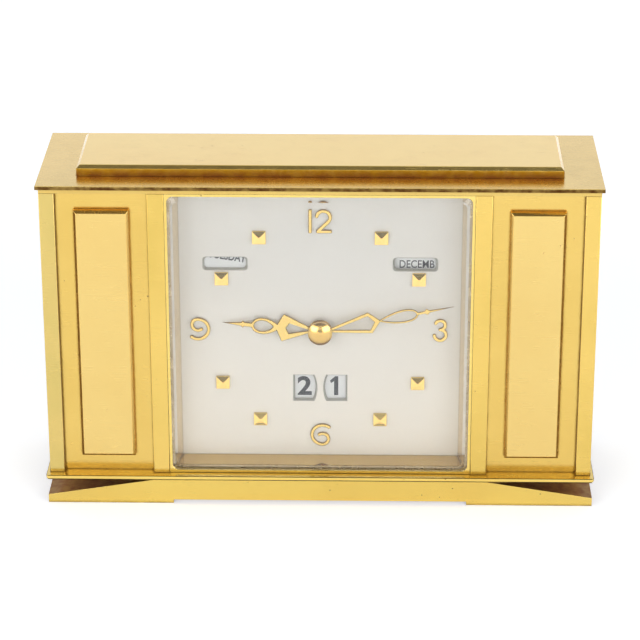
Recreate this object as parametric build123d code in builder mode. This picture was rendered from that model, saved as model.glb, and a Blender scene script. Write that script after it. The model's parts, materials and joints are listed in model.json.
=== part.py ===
from build123d import *
import os
from math import acos, atan2, cos, degrees, pi, radians, sin, tan

os.makedirs("parts", exist_ok=True)

# Desk clock, in millimetres. X runs across the front, Y from the front to the rear, Z up.
# The origin is at the middle of the footprint, on the table.

# Front, from the window outwards
WINDOW_WIDTH = 99.2
WINDOW_HEIGHT = 98.1
WINDOW_CORNER = 2.0
BEZEL_STRIP = 1.0
INNER_PILASTER_WIDTH = 5.4
RECESS_WIDTH = 30.1
OUTER_PILASTER_WIDTH = 5.0
PILASTER_DEPTH = 2.5
RAIL_HEIGHT = 1.7
RAISED_MARGIN = 6.0
RAISED_CHAMFER = 0.9
PANEL_SHEET = 1.5
WALL_SHEET = 1.5
CASE_DEPTH = 50.2
EDGE_BREAK = 0.2

# Foot, base plate, cap and the raised plinth on top
FOOT_HEIGHT = 9.5
FOOT_END_HEIGHT = 3.0
FOOT_FLAT_WIDTH = 102.0
FOOT_NOTCH_WIDTH = 99.0
FOOT_NOTCH_HEIGHT = 1.3
FOOT_SIDE_OVERHANG = 0.9
FOOT_FRONT_OVERHANG = 0.3
BASE_THICKNESS = 1.8
BASE_SIDE_OVERHANG = 1.15
BASE_FRONT_OVERHANG = 2.7
CAP_THICKNESS = 1.35
CAP_SIDE_OVERHANG = 0.9
CAP_FRONT_OVERHANG = 1.65
PLINTH_SIDE_MARGIN = 12.6
PLINTH_FRONT_MARGIN = 9.95
PLINTH_HEIGHT = 3.7
PLINTH_CHAMFER = 1.1

# Rear door and its hinge
DOOR_SHEET = 1.2
DOOR_GAP = 0.4
DOOR_BARREL_RADIUS = 1.8
HINGE_PIN_RADIUS = 0.8
HINGE_PIN_SEAT = 0.8
DOOR_KNOB_RADIUS = 3.0
DOOR_KNOB_HEIGHT = 3.0
DOOR_KNOB_INSET = 7.0
CATCH_WIDTH = 3.0
CATCH_HEIGHT = 16.0
CATCH_SHEET = 1.0
CATCH_GAP = 0.3

# Crystal, reveal and dial, in depths behind the pilaster fronts
BEZEL_SETBACK = 0.3
LIP_THICKNESS = 0.8
CRYSTAL_LAP = 0.4
CRYSTAL_CLEARANCE = 0.1
FRAME_CLEARANCE = 0.1
CRYSTAL_THICKNESS = 3.6
CRYSTAL_BEVEL_WIDTH = 2.2
CRYSTAL_BEVEL_DEPTH = 1.0
DIAL_DEPTH = 12.0
DIAL_THICKNESS = 1.0
DIAL_DROP = 1.6
REVEAL_SIDE_WALL = 3.1
REVEAL_SIDE_TAPER = 1.6
REVEAL_FLOOR_WALL = 1.3
REVEAL_FLOOR_TAPER = 0.3
FLANGE_WIDTH = 5.7
FLANGE_SHEET = 1.2
FRAME_EDGE_GAP = 0.2

# Dial furniture
NUMERAL_HEIGHT = 8.3
NUMERAL_STROKE = 1.15
SPIRAL_LOOP_SHARE = 0.28
SPIRAL_CURL = 35
SPIRAL_TAIL = 38
TWO_LOOP_SHARE = 0.31
TWO_HOOK = 170
TWO_SWEEP = 215
THREE_LOOP_SHARE = 0.23
THREE_HOOK = 155
THREE_TAIL = 175
NUMERAL_MARGIN = 6.2
NUMERAL_RELIEF = 0.8
ONE_GAP = 1.0
STUD_SIZE = 4.5
STUD_WALL = 0.9
STUD_RELIEF = 0.45
STUD_TOP = 0.5
STUD_STEEP_OUT = 20.2
STUD_STEEP_RISE = 32.9
STUD_FLAT_OUT = 32.75
STUD_FLAT_RISE = 18.2
STUD_FLAT_DROP = 19.4

# Apertures in the dial, placed from its centre
CALENDAR_WIDTH = 15.0
CALENDAR_HEIGHT = 4.9
CALENDAR_CORNER = 1.2
CALENDAR_OUT = 31.5
CALENDAR_RISE = 23.45
DATE_WIDTH = 8.15
DATE_HEIGHT = 9.7
DATE_OUT = 5.05
DATE_DROP = 21.45
DATE_BULGE = 1.0
APERTURE_BEVEL = 0.6

# Hands: a kite with an eye, an oval loop, a bead and a needle, each length from the one before
HOUR_ANGLE = 275.2
MINUTE_ANGLE = 77.8
HAND_THICKNESS = 0.6
HAND_GAP = 1.2
HAND_SPACING = 0.6
HAND_HUB_RADIUS = 4.0
HAND_ROOT_AT = 2.0
HAND_ROOT_HALF = 0.4
HOUR_HAND_LENGTH = 33.0
HOUR_KITE = 12.6
HOUR_SHOULDER = 5.0
HOUR_NOSE = 2.2
HOUR_EYE_FROM = 3.2
HOUR_EYE_HALF = 1.8
HOUR_EYE_SETBACK = 2.2
HOUR_EYE_NOSE = 3.4
HOUR_BAR = 1.0
HOUR_LOOP_LENGTH = 8.3
HOUR_LOOP = 2.9
HOUR_LOOP_POINT = 0.4
HOUR_NECK = 2.8
HOUR_BEAD_HALF = 1.45
HOUR_BEAD_REACH = 0.9
HOUR_NEEDLE_HALF = 0.8
MINUTE_TIP_GAP = 3.4
MINUTE_KITE = 17.05
MINUTE_SHOULDER = 3.8
MINUTE_NOSE = 3.3
MINUTE_EYE_FROM = 4.5
MINUTE_EYE_HALF = 2.5
MINUTE_EYE_SETBACK = 0.4
MINUTE_EYE_NOSE = 1.8
MINUTE_BAR = 0.65
MINUTE_LOOP_LENGTH = 13.0
MINUTE_LOOP = 2.35
MINUTE_LOOP_POINT = 1.0
MINUTE_NECK = 3.0
MINUTE_BEAD_HALF = 1.1
MINUTE_BEAD_REACH = 1.4
MINUTE_NEEDLE_HALF = 0.45
LOOP_STEPS = 14
NUT_RADIUS = 4.0
NUT_HEIGHT = 2.6
NUT_RIM = 1.2

# Motion work and the once-a-day wheels
MOTION_MODULE = 0.4
CANNON_TEETH = 12
MINUTE_WHEEL_TEETH = 36
MINUTE_PINION_TEETH = 10
HOUR_WHEEL_TEETH = 40
DAILY_WHEEL_TEETH = 80
CENTRE_WHEEL_TEETH = 60
DRIVE_PINION_TEETH = 10
WHEEL_THICKNESS = 1.0
ARBOR_RADIUS = 0.9
CANNON_RADIUS = 1.5
HOUR_PIPE_RADIUS = 2.3
STUD_POST_RADIUS = 0.8
RUNNING_CLEARANCE = 0.06
SEAT_CLEARANCE = 0.03
LAYER_GAP = 0.7
FINGER_THICKNESS = 0.5
FINGER_WIDTH = 2.0
FINGER_REACH = 18.2
STAR_BITE = 1.2
DAY_STAR_POINTS = 7
UNITS_STAR_POINTS = 10

# Calendar discs and their setting stems
DISC_THICKNESS = 0.6
DISC_GAP = 0.45
DISC_EDGE = 0.8
WEEK_TEXT_RADIUS = 14.5
TENS_TEXT_RADIUS = 9.0
UNITS_TEXT_RADIUS = 14.0
STEM_RADIUS = 1.0
KNOB_RADIUS = 4.5
KNOB_LENGTH = 3.8
KNOB_GROOVES = 18
KNOB_GROOVE_RADIUS = 0.5
KNOB_DOOR_GAP = 1.5
TIME_KNOB_RADIUS = 6.5

# Movement frame and drive
PLATE_SHEET = 1.2
PLATE_EDGE_GAP = 3.0
PLATE_SPACE = 11.0
MOTION_SPACE = 6.9
PILLAR_INSET = 4.0
PILLAR_RADIUS = 2.5
POST_RADIUS = 2.0
SPIGOT_RADIUS = 0.9
SPIGOT_LENGTH = 4.0
PLATE_SCREW_HEAD_RADIUS = 2.2
PLATE_SCREW_HEAD = 1.2
DRIVE_WIDTH = 30.0
DRIVE_HEIGHT = 24.0
DRIVE_DEPTH = 8.1
DRIVE_SHAFT_INSET = 6.0
DRIVE_SHAFT_LENGTH = 5.0
WHEEL_PLATE_GAP = 1.1

# Case screws
BASE_SCREW_RADIUS = 1.5
BASE_SCREW_HEAD_RADIUS = 2.75
BASE_SCREW_HEAD = 1.4
BASE_SCREW_GRIP = 5.0
BASE_SCREW_X = 35.0
BASE_SCREW_Y = 8.0
BASE_SCREW_SETBACK = 4.1
FRAME_SCREW_RADIUS = 1.0
FRAME_SCREW_HEAD_RADIUS = 1.9
FRAME_SCREW_HEAD = 1.1
FRAME_SCREW_GRIP = 1.2
FRAME_SCREW_SPREAD = 70.0

# Battery and its tray in the right-hand wing
CELL_RADIUS = 13.1
CELL_LENGTH = 50.0
CELL_NUB_RADIUS = 2.8
CELL_NUB_HEIGHT = 1.5
CELL_CLEARANCE = 0.3
TRAY_WALL = 2.0
TRAY_LIP = 8.0
CONTACT_SHEET = 0.5
CONTACT_SIZE = 9.0
CONTACT_TAIL = 2.5
LEAD_RADIUS = 0.6
LEAD_DROP = 6.0
LEAD_BEND = 5.0

# Places that follow from the sizes above
FRONT = -CASE_DEPTH / 2
REAR = CASE_DEPTH / 2
BEZEL_HALF = WINDOW_WIDTH / 2 + BEZEL_STRIP
RECESS_INNER = BEZEL_HALF + INNER_PILASTER_WIDTH
RECESS_OUTER = RECESS_INNER + RECESS_WIDTH
CASE_HALF = RECESS_OUTER + OUTER_PILASTER_WIDTH
WALL_INSIDE = CASE_HALF - WALL_SHEET
BASE_TOP = FOOT_HEIGHT + BASE_THICKNESS
RAIL_BOTTOM = BASE_TOP + WINDOW_HEIGHT + 2 * BEZEL_STRIP
CASE_TOP = RAIL_BOTTOM + RAIL_HEIGHT
CAP_TOP = CASE_TOP + CAP_THICKNESS
PANEL_FRONT = FRONT + PILASTER_DEPTH
PANEL_REAR = PANEL_FRONT + PANEL_SHEET
WINDOW_Z = BASE_TOP + BEZEL_STRIP + WINDOW_HEIGHT / 2
DIAL_Z = WINDOW_Z - DIAL_DROP
DIAL_FRONT = FRONT + DIAL_DEPTH
DIAL_REAR = DIAL_FRONT + DIAL_THICKNESS
BASE_SCREW_MIDDLE = DIAL_REAR + BASE_SCREW_SETBACK + BASE_SCREW_Y
FRAME_HALF = WINDOW_WIDTH / 2 + FRAME_EDGE_GAP
FRAME_HEIGHT = WINDOW_HEIGHT + 2 * FRAME_EDGE_GAP
LIP_FRONT = FRONT + BEZEL_SETBACK
LIP_REAR = LIP_FRONT + LIP_THICKNESS
CRYSTAL_LAND = LIP_REAR + CRYSTAL_LAP * CRYSTAL_BEVEL_DEPTH / CRYSTAL_BEVEL_WIDTH + CRYSTAL_CLEARANCE
CRYSTAL_FRONT = CRYSTAL_LAND - CRYSTAL_BEVEL_DEPTH
CRYSTAL_REAR = CRYSTAL_FRONT + CRYSTAL_THICKNESS
HOUR_HAND_REAR = DIAL_FRONT - HAND_GAP
HOUR_HAND_FRONT = HOUR_HAND_REAR - HAND_THICKNESS
MINUTE_HAND_REAR = HOUR_HAND_FRONT - HAND_SPACING
MINUTE_HAND_FRONT = MINUTE_HAND_REAR - HAND_THICKNESS
MINUTE_HAND_LENGTH = min(WINDOW_WIDTH, WINDOW_HEIGHT) / 2 - MINUTE_TIP_GAP
FRONT_DISC_REAR = DIAL_REAR + DISC_GAP + DISC_THICKNESS
REAR_DISC_REAR = FRONT_DISC_REAR + DISC_GAP + DISC_THICKNESS
HOUR_LAYER_FRONT = REAR_DISC_REAR + LAYER_GAP
HOUR_LAYER_REAR = HOUR_LAYER_FRONT + WHEEL_THICKNESS
MINUTE_LAYER_FRONT = HOUR_LAYER_REAR + LAYER_GAP + FINGER_THICKNESS / 2
MINUTE_LAYER_REAR = MINUTE_LAYER_FRONT + WHEEL_THICKNESS
PLATE_FRONT = DIAL_REAR + MOTION_SPACE
PLATE_REAR = PLATE_FRONT + PLATE_SHEET
REAR_PLATE_FRONT = PLATE_REAR + PLATE_SPACE
REAR_PLATE_REAR = REAR_PLATE_FRONT + PLATE_SHEET
PLATE_HALF_WIDTH = WINDOW_WIDTH / 2 - PLATE_EDGE_GAP
PLATE_HALF_HEIGHT = WINDOW_HEIGHT / 2 - PLATE_EDGE_GAP
PILLAR_X = PLATE_HALF_WIDTH - PILLAR_INSET
PILLAR_Z = PLATE_HALF_HEIGHT - PILLAR_INSET
HINGE_X = -WALL_INSIDE + DOOR_GAP + DOOR_BARREL_RADIUS
HINGE_Y = REAR - DOOR_BARREL_RADIUS
DOOR_FRONT = HINGE_Y - DOOR_SHEET / 2
DOOR_REAR = HINGE_Y + DOOR_SHEET / 2
DOOR_BOTTOM = BASE_TOP + DOOR_GAP
DOOR_HEIGHT = CASE_TOP - BASE_TOP - 2 * DOOR_GAP
KNOB_REAR = DOOR_FRONT - KNOB_DOOR_GAP
KNOB_FRONT = KNOB_REAR - KNOB_LENGTH

# Wheel centres: the motion work shares one centre distance
MOTION_DISTANCE = MOTION_MODULE * (CANNON_TEETH + MINUTE_WHEEL_TEETH) / 2
HOUR_MODULE = 2 * MOTION_DISTANCE / (MINUTE_PINION_TEETH + HOUR_WHEEL_TEETH)
DAILY_DISTANCE = HOUR_MODULE * (HOUR_WHEEL_TEETH + DAILY_WHEEL_TEETH) / 2
DRIVE_DISTANCE = MOTION_MODULE * (CENTRE_WHEEL_TEETH + DRIVE_PINION_TEETH) / 2
WEEK_CENTRE_X = CALENDAR_OUT - WEEK_TEXT_RADIUS
TENS_CENTRE_X = -DATE_OUT - TENS_TEXT_RADIUS
UNITS_CENTRE_X = DATE_OUT + UNITS_TEXT_RADIUS
WEEK_DISC_RADIUS = WEEK_TEXT_RADIUS + CALENDAR_WIDTH / 2 + DISC_EDGE
TENS_DISC_RADIUS = TENS_TEXT_RADIUS + DATE_WIDTH / 2
UNITS_DISC_RADIUS = UNITS_TEXT_RADIUS + DATE_WIDTH / 2

PRESSURE_ANGLE = radians(20)
ADDENDUM = 0.6
DEDENDUM = 0.9
TOOTH_SHARE = 0.42


def facing(y):
    """Upright plane at depth y, drawn as seen from the front; extrusions come forward."""
    return Plane.XZ.offset(-y)


def hand_plane(y, clock_angle):
    """Upright plane through the dial centre whose X axis points along a hand."""
    turn = radians(clock_angle)
    return Plane(origin=(0, y, DIAL_Z), x_dir=(sin(turn), 0, cos(turn)), z_dir=(0, -1, 0))


def wheel_plane(y, x, z):
    """Plane about a wheel's own centre, given from the dial centre."""
    return Plane(origin=(x, y, DIAL_Z + z), x_dir=(1, 0, 0), z_dir=(0, -1, 0))


def involute(radius, base):
    """Involute angle, in radians, at a radius outside the base circle."""
    if radius <= base:
        return 0
    roll = acos(base / radius)
    return tan(roll) - roll


def gear_points(teeth, module, turn):
    """Outline of a toothed wheel about its own centre; one tooth points along turn, in degrees."""
    pitch = module * teeth / 2
    base = pitch * cos(PRESSURE_ANGLE)
    root = pitch - DEDENDUM * module
    tip = pitch + ADDENDUM * module
    half_tooth = pi * TOOTH_SHARE / teeth + involute(pitch, base)
    flank = [root, (root + pitch) / 2, pitch, tip]
    points = []
    for tooth in range(teeth):
        middle = radians(turn) + 2 * pi * tooth / teeth
        rising = [(radius, middle - half_tooth + involute(radius, base)) for radius in flank]
        falling = [(radius, 2 * middle - angle) for radius, angle in reversed(rising)]
        points += [(radius * cos(angle), radius * sin(angle)) for radius, angle in rising + falling]
    return points


def meshing_turn(driver_teeth, driver_turn, teeth, direction):
    """Turn of a wheel that meshes with a driver, which sees it along direction, in degrees."""
    lag = (direction - driver_turn) % (360 / driver_teeth)
    return direction + 180 + lag * driver_teeth / teeth + 180 / teeth


def filled(points):
    """Add a filled outline with straight sides to the sketch in hand."""
    with BuildLine() as outline:
        Polyline(points, close=True)
    make_face(outline.edges())


def toothed_wheel(teeth, module, turn):
    """Add a toothed wheel to the sketch in hand."""
    filled(gear_points(teeth, module, turn))


def star_points(points, tip, root):
    """Outline of a pointed star wheel with one notch facing straight along X."""
    step = pi / points
    corners = [(tip if number % 2 else root, step * number) for number in range(2 * points)]
    return [(radius * cos(angle), radius * sin(angle)) for radius, angle in corners]


MINUTE_TURN = meshing_turn(CANNON_TEETH, 90, MINUTE_WHEEL_TEETH, 90)
HOUR_TURN = meshing_turn(MINUTE_PINION_TEETH, 270, HOUR_WHEEL_TEETH, 270)
DRIVE_TURN = meshing_turn(CENTRE_WHEEL_TEETH, 0, DRIVE_PINION_TEETH, 0)

# Foot: a bar whose top slopes away under the base plate and whose underside is notched
FOOT_HALF = CASE_HALF + FOOT_SIDE_OVERHANG
FOOT_FRONT = FRONT - FOOT_FRONT_OVERHANG
with BuildPart() as foot:
    with BuildSketch(facing(-FOOT_FRONT)):
        with BuildLine():
            Polyline(
                (-FOOT_HALF, 0),
                (-FOOT_NOTCH_WIDTH / 2, 0),
                (-FOOT_NOTCH_WIDTH / 2, FOOT_NOTCH_HEIGHT),
                (FOOT_NOTCH_WIDTH / 2, FOOT_NOTCH_HEIGHT),
                (FOOT_NOTCH_WIDTH / 2, 0),
                (FOOT_HALF, 0),
                (FOOT_HALF, FOOT_END_HEIGHT),
                (FOOT_FLAT_WIDTH / 2, FOOT_HEIGHT),
                (-FOOT_FLAT_WIDTH / 2, FOOT_HEIGHT),
                (-FOOT_HALF, FOOT_END_HEIGHT),
                close=True,
            )
        make_face()
    extrude(amount=-2 * FOOT_FRONT)
    with BuildSketch(Plane.XY.offset(FOOT_HEIGHT - BASE_SCREW_GRIP)):
        with Locations((0, BASE_SCREW_MIDDLE)):
            with GridLocations(2 * BASE_SCREW_X, 2 * BASE_SCREW_Y, 2, 2):
                Circle(BASE_SCREW_RADIUS + SEAT_CLEARANCE)
    extrude(amount=BASE_SCREW_GRIP, mode=Mode.SUBTRACT)
foot.part.label = "foot"
export_step(foot.part, "parts/foot.step")

# Base plate, drilled for the screws that hold the foot and for the hinge pin
with BuildPart() as base_plate:
    with BuildSketch(Plane.XY.offset(FOOT_HEIGHT)):
        Rectangle(2 * (CASE_HALF + BASE_SIDE_OVERHANG), CASE_DEPTH + 2 * BASE_FRONT_OVERHANG)
        with Locations((0, BASE_SCREW_MIDDLE)):
            with GridLocations(2 * BASE_SCREW_X, 2 * BASE_SCREW_Y, 2, 2):
                Circle(BASE_SCREW_RADIUS + SEAT_CLEARANCE, mode=Mode.SUBTRACT)
    extrude(amount=BASE_THICKNESS)
    with BuildSketch(Plane.XY.offset(BASE_TOP - HINGE_PIN_SEAT)):
        with Locations((HINGE_X, HINGE_Y)):
            Circle(HINGE_PIN_RADIUS + SEAT_CLEARANCE)
    extrude(amount=HINGE_PIN_SEAT, mode=Mode.SUBTRACT)
    fillet(base_plate.edges().group_by(Axis.Z)[-1].filter_by(GeomType.LINE), EDGE_BREAK)
base_plate.part.label = "base_plate"
export_step(base_plate.part, "parts/base_plate.step")

# Screws from the base plate down into the foot
with BuildPart() as base_screws:
    with BuildSketch(Plane.XY.offset(FOOT_HEIGHT - BASE_SCREW_GRIP)):
        with Locations((0, BASE_SCREW_MIDDLE)):
            with GridLocations(2 * BASE_SCREW_X, 2 * BASE_SCREW_Y, 2, 2):
                Circle(BASE_SCREW_RADIUS)
    extrude(amount=BASE_SCREW_GRIP + BASE_THICKNESS)
    with BuildSketch(Plane.XY.offset(BASE_TOP)):
        with Locations((0, BASE_SCREW_MIDDLE)):
            with GridLocations(2 * BASE_SCREW_X, 2 * BASE_SCREW_Y, 2, 2):
                Circle(BASE_SCREW_HEAD_RADIUS)
    extrude(amount=BASE_SCREW_HEAD)
base_screws.part.label = "base_screws"
export_step(base_screws.part, "parts/base_screws.step")

# Cap: a thin plate over the whole case
with BuildPart() as cap_plate:
    with BuildSketch(Plane.XY.offset(CASE_TOP)):
        Rectangle(2 * (CASE_HALF + CAP_SIDE_OVERHANG), CASE_DEPTH + 2 * CAP_FRONT_OVERHANG)
    extrude(amount=CAP_THICKNESS)
    fillet(cap_plate.edges().group_by(Axis.Z)[-1], EDGE_BREAK)
    with BuildSketch(Plane.XY.offset(CASE_TOP)):
        with Locations((HINGE_X, HINGE_Y)):
            Circle(HINGE_PIN_RADIUS + SEAT_CLEARANCE)
    extrude(amount=HINGE_PIN_SEAT, mode=Mode.SUBTRACT)
cap_plate.part.label = "cap_plate"
export_step(cap_plate.part, "parts/cap_plate.step")

# Raised plinth on the cap, with a bevelled upper edge
with BuildPart() as top_plinth:
    with BuildSketch(Plane.XY.offset(CAP_TOP)):
        Rectangle(
            2 * (CASE_HALF + CAP_SIDE_OVERHANG - PLINTH_SIDE_MARGIN),
            CASE_DEPTH + 2 * (CAP_FRONT_OVERHANG - PLINTH_FRONT_MARGIN),
        )
    extrude(amount=PLINTH_HEIGHT)
    chamfer(top_plinth.edges().group_by(Axis.Z)[-1], PLINTH_CHAMFER)
top_plinth.part.label = "top_plinth"
export_step(top_plinth.part, "parts/top_plinth.step")

# Each wing: side wall, recessed sheet, two pilasters and a raised panel
RAISED_WIDTH = RECESS_WIDTH - 2 * RAISED_MARGIN
RAISED_HEIGHT = RAIL_BOTTOM - BASE_TOP - 2 * RAISED_MARGIN
UPRIGHT_Z = (BASE_TOP + RAIL_BOTTOM) / 2
for side, hand in (("left", -1), ("right", 1)):
    with BuildPart() as side_wall:
        with BuildSketch(Plane.XY.offset(BASE_TOP)):
            with Locations((hand * (CASE_HALF + WALL_INSIDE) / 2, (PANEL_REAR + REAR) / 2)):
                Rectangle(WALL_SHEET, REAR - PANEL_REAR)
        extrude(amount=CASE_TOP - BASE_TOP)
    side_wall.part.label = f"{side}_side_wall"
    export_step(side_wall.part, f"parts/{side}_side_wall.step")

    with BuildPart() as front_panel:
        with BuildSketch(facing(PANEL_REAR)):
            with Locations((hand * (BEZEL_HALF + CASE_HALF) / 2, (BASE_TOP + CASE_TOP) / 2)):
                Rectangle(CASE_HALF - BEZEL_HALF, CASE_TOP - BASE_TOP)
        extrude(amount=PANEL_SHEET)
        with BuildSketch(facing(PANEL_REAR)):
            with Locations((hand * (BEZEL_HALF + FLANGE_WIDTH / 2), WINDOW_Z)):
                with GridLocations(0, FRAME_SCREW_SPREAD, 1, 2):
                    Circle(FRAME_SCREW_RADIUS + SEAT_CLEARANCE)
        extrude(amount=FRAME_SCREW_GRIP, mode=Mode.SUBTRACT)
    front_panel.part.label = f"{side}_front_panel"
    export_step(front_panel.part, f"parts/{side}_front_panel.step")

    for place, inner, width in (
        ("inner", BEZEL_HALF, INNER_PILASTER_WIDTH),
        ("outer", RECESS_OUTER, OUTER_PILASTER_WIDTH),
    ):
        with BuildPart() as pilaster:
            with BuildSketch(facing(PANEL_FRONT)):
                with Locations((hand * (inner + width / 2), UPRIGHT_Z)):
                    Rectangle(width, RAIL_BOTTOM - BASE_TOP)
            extrude(amount=PILASTER_DEPTH)
            fillet(pilaster.edges().group_by(Axis.Y)[0].filter_by(Axis.Z), EDGE_BREAK)
        pilaster.part.label = f"{side}_{place}_pilaster"
        export_step(pilaster.part, f"parts/{side}_{place}_pilaster.step")

    with BuildPart() as raised_panel:
        with BuildSketch(facing(PANEL_FRONT)):
            with Locations((hand * (RECESS_INNER + RECESS_OUTER) / 2, UPRIGHT_Z)):
                Rectangle(RAISED_WIDTH, RAISED_HEIGHT)
        extrude(amount=PILASTER_DEPTH)
        chamfer(raised_panel.edges().group_by(Axis.Y)[0], RAISED_CHAMFER)
    raised_panel.part.label = f"{side}_raised_panel"
    export_step(raised_panel.part, f"parts/{side}_raised_panel.step")

# Rail under the cap, across the heads of the pilasters
with BuildPart() as top_rail:
    with BuildSketch(facing(PANEL_FRONT)):
        with Locations((0, (RAIL_BOTTOM + CASE_TOP) / 2)):
            Rectangle(2 * CASE_HALF, RAIL_HEIGHT)
    extrude(amount=PILASTER_DEPTH)
top_rail.part.label = "top_rail"
export_step(top_rail.part, "parts/top_rail.step")

# Bezel: a thin frame with a lip in front of the crystal and a rebate behind it
REBATE_WIDTH = WINDOW_WIDTH + 2 * (CRYSTAL_LAP + CRYSTAL_CLEARANCE)
REBATE_HEIGHT = WINDOW_HEIGHT + 2 * (CRYSTAL_LAP + CRYSTAL_CLEARANCE)
with BuildPart() as bezel:
    with BuildSketch(facing(PANEL_REAR)):
        with Locations((0, WINDOW_Z)):
            Rectangle(2 * BEZEL_HALF, WINDOW_HEIGHT + 2 * BEZEL_STRIP)
            RectangleRounded(WINDOW_WIDTH, WINDOW_HEIGHT, WINDOW_CORNER, mode=Mode.SUBTRACT)
    extrude(amount=PANEL_REAR - LIP_FRONT)
    with BuildSketch(facing(PANEL_REAR)):
        with Locations((0, WINDOW_Z)):
            RectangleRounded(REBATE_WIDTH, REBATE_HEIGHT, WINDOW_CORNER)
    extrude(amount=PANEL_REAR - LIP_REAR, mode=Mode.SUBTRACT)
bezel.part.label = "bezel"
export_step(bezel.part, "parts/bezel.step")

# Crystal: thick flat glass with a bevel all round, lapped by the bezel's lip
CRYSTAL_WIDTH = WINDOW_WIDTH + 2 * CRYSTAL_LAP
CRYSTAL_HEIGHT = WINDOW_HEIGHT + 2 * CRYSTAL_LAP
with BuildPart() as crystal:
    with BuildSketch(facing(CRYSTAL_REAR)):
        with Locations((0, WINDOW_Z)):
            RectangleRounded(CRYSTAL_WIDTH, CRYSTAL_HEIGHT, WINDOW_CORNER)
    extrude(amount=CRYSTAL_REAR - CRYSTAL_LAND)
    for depth, inset in ((CRYSTAL_LAND, 0), (CRYSTAL_FRONT, CRYSTAL_BEVEL_WIDTH)):
        with BuildSketch(facing(depth)):
            with Locations((0, WINDOW_Z)):
                RectangleRounded(CRYSTAL_WIDTH - 2 * inset, CRYSTAL_HEIGHT - 2 * inset, WINDOW_CORNER)
    loft(ruled=True)
crystal.part.label = "crystal"
export_step(crystal.part, "parts/crystal.step")

# Dial frame: a splayed, polished reveal between crystal and dial, with screw flanges at the sides
with BuildPart() as dial_frame:
    with BuildSketch(facing(DIAL_FRONT)):
        with Locations((0, WINDOW_Z)):
            RectangleRounded(2 * FRAME_HALF, FRAME_HEIGHT, WINDOW_CORNER)
    extrude(amount=DIAL_FRONT - CRYSTAL_REAR)
    with BuildSketch(facing(PANEL_REAR + FLANGE_SHEET)):
        with Locations((0, WINDOW_Z)):
            Rectangle(2 * (BEZEL_HALF + FLANGE_WIDTH), FRAME_HEIGHT)
            with GridLocations(2 * BEZEL_HALF + FLANGE_WIDTH, FRAME_SCREW_SPREAD, 2, 2):
                Circle(FRAME_SCREW_RADIUS + SEAT_CLEARANCE, mode=Mode.SUBTRACT)
    extrude(amount=FLANGE_SHEET)
    with BuildSketch(facing(CRYSTAL_REAR + FRAME_CLEARANCE)):
        with Locations((0, WINDOW_Z)):
            Rectangle(REBATE_WIDTH, REBATE_HEIGHT)
    extrude(amount=FRAME_CLEARANCE, mode=Mode.SUBTRACT)
    for depth, splay in ((DIAL_FRONT, 0), (CRYSTAL_REAR, 1)):
        side = REVEAL_SIDE_WALL - splay * REVEAL_SIDE_TAPER
        floor = REVEAL_FLOOR_WALL - splay * REVEAL_FLOOR_TAPER
        with BuildSketch(facing(depth)):
            with Locations((0, WINDOW_Z)):
                Rectangle(2 * (FRAME_HALF - side), FRAME_HEIGHT - 2 * floor)
    loft(ruled=True, mode=Mode.SUBTRACT)
dial_frame.part.label = "dial_frame"
export_step(dial_frame.part, "parts/dial_frame.step")

# Screws through the flanges into the front panels
with BuildPart() as frame_screws:
    with BuildSketch(facing(PANEL_REAR + FLANGE_SHEET)):
        with Locations((0, WINDOW_Z)):
            with GridLocations(2 * BEZEL_HALF + FLANGE_WIDTH, FRAME_SCREW_SPREAD, 2, 2):
                Circle(FRAME_SCREW_RADIUS)
    extrude(amount=FLANGE_SHEET + FRAME_SCREW_GRIP)
    with BuildSketch(facing(PANEL_REAR + FLANGE_SHEET + FRAME_SCREW_HEAD)):
        with Locations((0, WINDOW_Z)):
            with GridLocations(2 * BEZEL_HALF + FLANGE_WIDTH, FRAME_SCREW_SPREAD, 2, 2):
                Circle(FRAME_SCREW_HEAD_RADIUS)
    extrude(amount=FRAME_SCREW_HEAD)
frame_screws.part.label = "frame_screws"
export_step(frame_screws.part, "parts/frame_screws.step")


def date_outline(hand, inset):
    """Add one date aperture to the sketch: straight outside, bulging towards the middle."""
    outer = hand * (DATE_OUT + DATE_WIDTH / 2 - inset)
    inner = hand * (DATE_OUT - DATE_WIDTH / 2 + DATE_BULGE + inset)
    crest = hand * (DATE_OUT - DATE_WIDTH / 2 + inset)
    middle = DIAL_Z - DATE_DROP
    low = middle - DATE_HEIGHT / 2 + inset
    high = middle + DATE_HEIGHT / 2 - inset
    with BuildLine() as outline:
        Polyline((inner, low), (outer, low), (outer, high), (inner, high))
        ThreePointArc((inner, high), (crest, middle), (inner, low))
    make_face(outline.edges())


# Dial: a plate with four bevelled apertures and a hole for the hand pipes
with BuildPart() as dial:
    with BuildSketch(facing(DIAL_REAR)):
        with Locations((0, WINDOW_Z)):
            Rectangle(2 * FRAME_HALF, FRAME_HEIGHT)
        with Locations((0, DIAL_Z)):
            Circle(HOUR_PIPE_RADIUS + DISC_GAP, mode=Mode.SUBTRACT)
    extrude(amount=DIAL_THICKNESS)
    for hand in (-1, 1):
        for depth, inset in ((DIAL_REAR, APERTURE_BEVEL), (DIAL_FRONT, 0)):
            with BuildSketch(facing(depth)):
                with Locations((hand * CALENDAR_OUT, DIAL_Z + CALENDAR_RISE)):
                    RectangleRounded(
                        CALENDAR_WIDTH - 2 * inset, CALENDAR_HEIGHT - 2 * inset, CALENDAR_CORNER
                    )
        loft(ruled=True, mode=Mode.SUBTRACT)
        for depth, inset in ((DIAL_REAR, APERTURE_BEVEL), (DIAL_FRONT, 0)):
            with BuildSketch(facing(depth)):
                date_outline(hand, inset)
        loft(ruled=True, mode=Mode.SUBTRACT)
dial.part.label = "dial"
export_step(dial.part, "parts/dial.step")

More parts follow.
